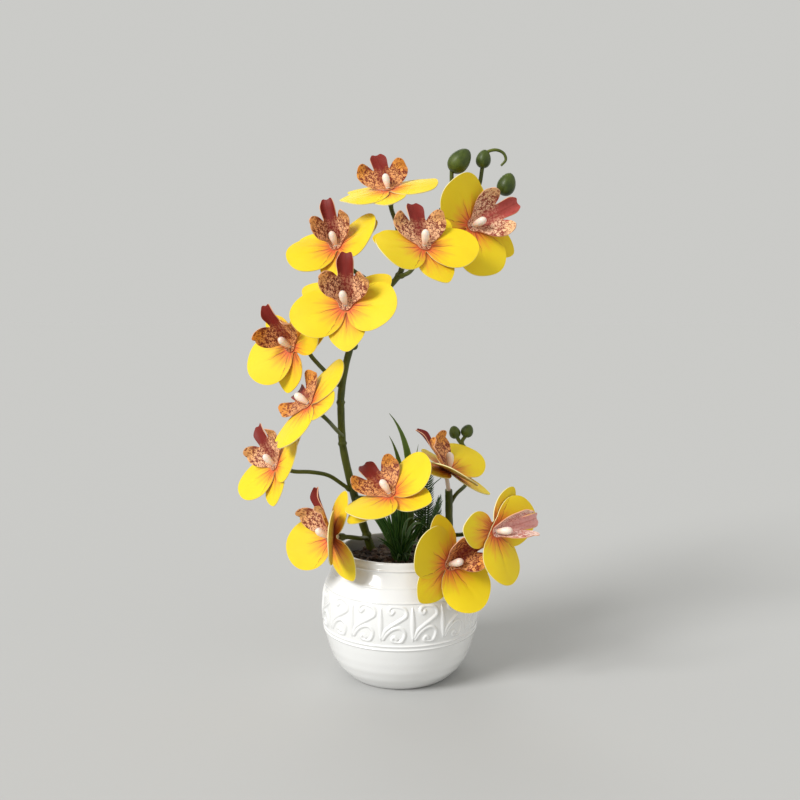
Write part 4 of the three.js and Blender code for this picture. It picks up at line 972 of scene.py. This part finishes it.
for turn, reach, high, low, material in ARCHED_BLADES:
    tip = from_tuft(rad(turn), reach, TUFT_BASE + low)
    knee = from_tuft(rad(turn), 0.45 * reach, TUFT_BASE + high * 1.25)
    add_blade(tuft, (x0, y0 - 1, TUFT_BASE), knee, tip, 2.5, 0.9, 0.5, material, 0.6)
for knee, tip in HIGHLIGHTED_ARCS:
    add_blade(tuft, (1.5, -7, TUFT_BASE), knee, tip, 2.7, 0.9, 0.4, HIGHLIGHTED, 0.3, FRONT)
# the short shoots also take the painted-highlight green
for k in range(SHOOTS):
    a = rad(-150 + 15 * k)
    tip = (x0 + 1.5 + 4.2 * cos(a), y0 - 5 + 3.4 * sin(a), TUFT_BASE + 3.4 + chance(-1, 1))
    knee = (x0 + 1.5 + 1.5 * cos(a), y0 - 5 + 1.2 * sin(a), TUFT_BASE + 4)
    add_blade(tuft, (x0 + 1.5, y0 - 4.2, TUFT_BASE - 2), knee, tip, 1.4, 0.5, 0.8, HIGHLIGHTED)
add_rooted_core(tuft, TUFT_AT, 3.6)
settle(tuft.make("grass_blades", [GRASS, GRASS_PAINTED_HIGHLIGHT, GRASS_TALL]), "grass", "grass_tuft")

# --- Fern ---
FERN_AT = (18, 8)
FERN_BASE = 85.0
# knee, tip and the direction that the leaflets spread in
FRONDS = (
    ((17, 9, 118), (21, 10, 148), (1, 0.15, 0)),
    ((12, 16, 112), (11, 24, 138), (0.8, 0.6, 0)),
    ((23, 3, 104), (27, -4, 127), (0.75, 0.65, 0)),
)
FROND_ROWS = 24
FROND_LEAFLETS = 34
FROND_HALF = 5.2
LEAFLET_ROWS = 7
LEAFLET_HALF = 0.80
LEAFLET_SECTION = ((-1, 0.12), (0, -0.30), (1, 0.12), (0, 0.18))
THIN_LEAF = ((20, 6, 86), (20, 4, 112), (22.5, 1, 134), (29, -1, 141))


def add_leaflet(body, at, bend, end, tangent, normal, flip):
    share = np.linspace(0, 1, LEAFLET_ROWS)[:, None]
    line = bent(at, bend, end, share)
    half = LEAFLET_HALF * np.sin(pi * (0.18 + 0.80 * share)) ** 0.7
    points = np.stack([line + tangent * half * across + normal * lift for across, lift in LEAFLET_SECTION], 1)
    uv = [(row, (across + 1) / 2) for row in share[:, 0] for across, _ in LEAFLET_SECTION]
    body.add(points.reshape(-1, 3), capped_faces(LEAFLET_ROWS, len(LEAFLET_SECTION), flip), uv)


def add_frond(body, knee, tip, across):
    """A rib with two rows of narrow pointed leaflets that climb towards the tip."""
    base = np.array([*FERN_AT, FERN_BASE])
    knee, tip = np.array(knee, float), np.array(tip, float)
    across = unit(np.array(across))
    line = bent(base, knee, tip, np.linspace(0, 1, FROND_ROWS)[:, None])
    body.add(*loft(line, np.linspace(0.95, 0.4, FROND_ROWS), 10))
    for i in range(FROND_LEAFLETS):
        share = 0.06 + 0.93 * i / (FROND_LEAFLETS - 1)
        at = bent(base, knee, tip, share)
        tangent = unit(2 * (1 - share) * (knee - base) + 2 * share * (tip - knee))
        side = unit(across - tangent * (across @ tangent))
        normal = np.cross(side, tangent)
        reach = FROND_HALF * sin(pi * min(1, 0.16 + 0.84 * share)) ** 0.6 + 0.8
        for sign in (-1, 1):
            forward = chance(-0.4, 1.6)
            end = at + side * sign * reach + tangent * (3.2 + 0.25 * reach) + normal * forward
            bend = at + side * sign * reach * 0.55 + tangent * 0.9 + normal * (forward * 0.3 + 0.5)
            add_leaflet(body, at, bend, end, tangent, normal, sign > 0)


fern = Collector()
for frond in FRONDS:
    add_frond(fern, *frond)
leaf = smooth_line(THIN_LEAF, 8)
fern.add(*loft(leaf, np.linspace(0.75, 0.25, len(leaf)), 10))
add_rooted_core(fern, FERN_AT, 2.7)
settle(fern.make("fern_fronds", [FERN]), "fern", "fern")

# --- Bark and planting core ---
BARK_RADIUS = 42.5
BARK_LEVEL = 82.3
BARK_BED = ((74.2, 45.0), (79.5, 43.2), (81.2, 39), (81.6, 30), (81.6, 20), (81.6, 10), (81.4, 0.8))
BED_SIDES = 64
BED_ROUGH = 80  # the bed is rough above this height
CHIPS = 330
CHIP_TURN = 2.39996  # from each chip to the next, radians
CHIP_RINGS = ((-0.5, 0.75), (-0.28, 1.0), (0.2, 0.95), (0.5, 0.7))
CHIP_SIDES = 9
CORE_OUTLINE = (
    (5.4, 30), (5.6, 34.2), (8, 36.6), (20, 46.0), (35, 49), (50, 50.5), (62, 48.6), (72, 45.9), (73.4, 44.5),
    (73.4, 40), (73.4, 1),
)
CORE_SIDES = 72


def add_chip(body, at, size, material):
    """A broken, wedge-like flake of bark with uneven faces."""
    stretch = np.array([chance(0.8, 1.5), chance(0.6, 1.0), chance(0.35, 0.75)]) * size
    turns = [Matrix.Rotation(chance(low, high), 3, axis) for low, high, axis in (
        (0, FULL_TURN, "Z"), (-0.7, 0.7, "X"), (-0.6, 0.6, "Y"),
    )]
    turn = np.array(turns[0] @ turns[1] @ turns[2])
    bumps = chance(0.72, 1.12, CHIP_SIDES)
    points, uv = [], []
    for height, reach in CHIP_RINGS:
        for k in range(CHIP_SIDES):
            a = FULL_TURN * k / CHIP_SIDES
            r = reach * bumps[k] * chance(0.92, 1.06)
            p = np.array([r * cos(a), r * sin(a), height * chance(0.85, 1.15)]) * stretch
            points.append(turn @ p + at)
            uv.append((height * size * UV_SCALE, k / CHIP_SIDES))
    body.add(points, capped_faces(len(CHIP_RINGS), CHIP_SIDES), uv, material)


bark_bed = Collector()
points = [(x, y, z + (chance(-0.5, 0.5) if z > BED_ROUGH else 0)) for x, y, z in lathe(BARK_BED, BED_SIDES)]
uv = [(radius * UV_SCALE, k / BED_SIDES) for _, radius in BARK_BED for k in range(BED_SIDES)]
bark_bed.add(points, capped_faces(len(BARK_BED), BED_SIDES), uv, 1)
for i in range(CHIPS):
    reach = BARK_RADIUS * sqrt((i + 0.5) / CHIPS) * 0.95
    turn = i * CHIP_TURN + chance(-0.15, 0.15)
    level = BARK_LEVEL - 0.9 * (reach / BARK_RADIUS) ** 4 + chance(-0.9, 0.5)
    at = np.array([reach * cos(turn), reach * sin(turn), level])
    add_chip(bark_bed, at, chance(1.7, 3.0), int(rng.integers(0, 3)))
settle(bark_bed.make("bark_chips", BARK_TONES, 28), "bark", "bark")

core = Collector()
uv = [(z * UV_SCALE, k / CORE_SIDES) for z, _ in CORE_OUTLINE for k in range(CORE_SIDES)]
core.add(lathe(CORE_OUTLINE, CORE_SIDES), capped_faces(len(CORE_OUTLINE), CORE_SIDES), uv)
settle(core.make("foam_core", [FOAM]), "core", "planting_core")

# --- Pot ---
POT_PROFILE = (
    (0, 35.2), (1, 36.6), (5, 41.4), (10, 45.4), (16, 48.8), (23, 51.3), (30, 53.1), (36, 54.3), (44, 55.0),
    (52, 55.1), (60, 54.4), (68, 52.2), (75, 49.4), (81, 46.4), (85, 44.7), (90, 44.0),
)
POT_HEIGHT = 90
POT_COLUMNS = 960
BEADS = ((34.6, 0.7), (37.4, 0.7), (66.4, 0.7), (85.8, 0.7), (75.5, 0.28))  # height and rise
BEAD_HALF = 0.62
BAND_BOTTOM, BAND_TOP = 40.2, 64.6
BAND_UNITS = 16
BAND_START = -103.5
BAND_RADIUS = 55
BAND_RISE = 0.9
SCROLL_HALF = 1.45
SOFTNESS = 1.15  # lower is fuller
GLAZE_SHRINK = 0.1
UPPER_SCROLL = (
    (0.40, 0.86), (0.33, 0.80), (0.25, 0.88), (0.33, 0.99), (0.55, 1.0), (0.78, 0.90), (0.80, 0.76), (0.62, 0.63),
    (0.38, 0.50), (0.15, 0.33), (0.05, 0.15),
)
LOWER_SCROLL = (
    (0.50, 0.10), (0.42, 0.16), (0.35, 0.08), (0.45, 0.0), (0.62, 0.02), (0.72, 0.14), (0.74, 0.30), (0.60, 0.42),
    (0.38, 0.38), (0.20, 0.25), (0.08, 0.1),
)
# heights of the outer wall's rings: from, to and count, closer together where the wall has relief
WALL_ROWS = (
    (0.9, 32.8, 26), (33.2, 39.4, 32), (39.6, 65.2, 110), (65.4, 67.8, 14), (68.5, 74, 6), (74.3, 77, 10),
    (78, 84.2, 7), (84.5, 87.2, 14), (87.8, 89.4, 4),
)
# height and radius of the rings under the foot, over the rim and inside
FOOT = ((0.9, 0.6), (0.9, 31.5), (0.5, 32.3), (0.05, 32.8), (0.0, 33.4), (0.0, 34.9), (0.25, 35.35))
RIM = (
    (89.9, 43.9), (90.4, 43.7), (90.75, 43.3), (90.95, 42.8), (91.0, 42.3), (90.9, 41.8), (90.6, 41.3), (90.1, 41.1),
    (89, 41.2), (87, 41.6), (84, 43), (81, 44.6), (78, 45.6), (74, 46.4),
)
INSIDE = ((50, 51.5), (20, 46.8), (5, 35.5), (5, 0.5))


def smooth_profile(z):
    """Outer radius of the pot's wall at any height, without the kinks of its key points."""
    heights, radii = np.array(POT_PROFILE, float).T
    blur = [np.interp(np.clip(z + shift, 0, POT_HEIGHT), heights, radii) for shift in (-2.4, -1.2, 0, 1.2, 2.4)]
    weight = ramp(np.minimum(z, POT_HEIGHT - z), 0, 4)
    return np.interp(z, heights, radii) * (1 - weight) + weight * np.mean(blur, axis=0)


def line_distance(px, py, line):
    nearest = np.full(px.shape, 1e9)
    for (ax, ay), (bx, by) in zip(line[:-1], line[1:]):
        dx, dy = bx - ax, by - ay
        along = np.clip(((px - ax) * dx + (py - ay) * dy) / (dx * dx + dy * dy + 1e-9), 0, 1)
        nearest = np.minimum(nearest, np.hypot(px - ax - along * dx, py - ay - along * dy))
    return nearest


def rounded(away, half):
    """Section of a raised line, soft under thick glaze."""
    return np.clip(1 - (away / half) ** 2, 0, 1) ** SOFTNESS


def relief(angle, z):
    """Raised scroll band: a spindle between motifs, and two scrolls in each."""
    unit_turn = FULL_TURN / BAND_UNITS
    turned = (angle - rad(BAND_START)) / unit_turn
    across = turned - np.floor(turned)
    width, height = unit_turn * BAND_RADIUS, BAND_TOP - BAND_BOTTOM
    up = (z - BAND_BOTTOM) / height
    swell = np.clip(np.sin(pi * np.clip(up, 0, 1)), 0, 1)
    spindle = rounded(np.minimum(across, 1 - across) * width, 0.35 + 1.6 * swell)
    rise = spindle * np.clip(swell * 3, 0, 1)
    for scroll in (UPPER_SCROLL, LOWER_SCROLL):
        for shift in (-width, 0, width):
            line = smooth_line([(a * width + shift, b * height, 0) for a, b in scroll], 5)[:, :2]
            rise = np.maximum(rise, rounded(line_distance(across * width, up * height, line), SCROLL_HALF))
    return rise * ramp(up, -0.03, 0.05) * np.clip((1.03 - up) / 0.05, 0, 1)


turns = FULL_TURN * np.arange(POT_COLUMNS) / POT_COLUMNS
heights = np.concatenate([np.linspace(*row) for row in WALL_ROWS])
Z, A = np.meshgrid(heights, turns, indexing="ij")
radius = smooth_profile(Z)
for bead, rise in BEADS:
    radius = radius + rise * bell(Z - bead, BEAD_HALF)
radius = radius + BAND_RISE * relief(A, Z)
throwing = 0.10 * np.sin(Z * 0.9 + 0.6 * np.sin(A)) * ramp(32 - Z, 0, 20) + 0.08 * np.sin(2 * A + Z * 0.05)
radius = radius + throwing - GLAZE_SHRINK
outer = np.stack([radius * np.cos(A), radius * np.sin(A), Z], -1)


def pot_rings(rows):
    cosines, sines = np.cos(turns), np.sin(turns)
    return np.array([np.column_stack([r * cosines, r * sines, np.full(POT_COLUMNS, z)]) for z, r in rows])


rings = np.concatenate([pot_rings(FOOT), outer, pot_rings(RIM), pot_rings(INSIDE)])
faces = capped_faces(len(rings), POT_COLUMNS)
points = rings.reshape(-1, 3)
uv = np.stack([points[:, 2] * UV_SCALE, np.tile(np.arange(POT_COLUMNS) / POT_COLUMNS, len(rings))], 1)
settle(add_mesh("glazed_pot", points, faces, [GLAZE], [0] * len(faces), uv, 60), "pot", "pot")

# --- Camera, floor and light ---
CAMERA_PLACE = (0, -0.693, 0.279)
CAMERA_DOWN = 6.84
camera_data = bpy.data.cameras.new("camera")
camera_data.sensor_width = 36
camera_data.lens = 45
camera = link("camera", camera_data)
camera.location = CAMERA_PLACE
camera.rotation_euler = (rad(90 - CAMERA_DOWN), 0, 0)
scene.camera = camera
scene.view_settings.view_transform = "Standard"

# the floor is as bright under the lights as the world behind it, so no horizon shows
WORLD_COLOUR = (0.595, 0.595, 0.575)
FLOOR_COLOUR = (0.5035, 0.5035, 0.4949)
FLOOR_HALF = 6.0  # metres
floor_mesh = bpy.data.meshes.new("floor")
corners = [(FLOOR_HALF * x, FLOOR_HALF * y, 0) for x, y in ((-1, -1), (1, -1), (1, 1), (-1, 1))]
floor_mesh.from_pydata(corners, [], [(0, 1, 2, 3)])
paper = Nodes("floor_paper", {"Roughness": 0.8, "Specular IOR Level": 0.0})
floor_mesh.materials.append(paper.finish(FLOOR_COLOUR))
floor = link("floor", floor_mesh)

world = bpy.data.worlds.new("studio")
world.use_nodes = True
background = world.node_tree.nodes["Background"].inputs
background[0].default_value = (*WORLD_COLOUR, 1)
background[1].default_value = 1.0
scene.world = world


def add_sun(name, place, target, power, spread):
    data = bpy.data.lights.new(name, "SUN")
    data.energy = power
    data.angle = rad(spread)
    light = link(name, data)
    light.location = place
    light.rotation_euler = (Vector(target) - Vector(place)).to_track_quat("-Z", "Y").to_euler()


# broad suns light the floor evenly as far as the horizon
add_sun("key", (-1.3, -1.05, 1.35), (0, 0, 0.2), 2.65, 24)
add_sun("fill", (1.1, -0.9, 0.7), (0, 0, 0.2), 0.20, 60)
add_sun("rim", (-0.3, 1.1, 1.0), (0, 0, 0.25), 0.50, 40)
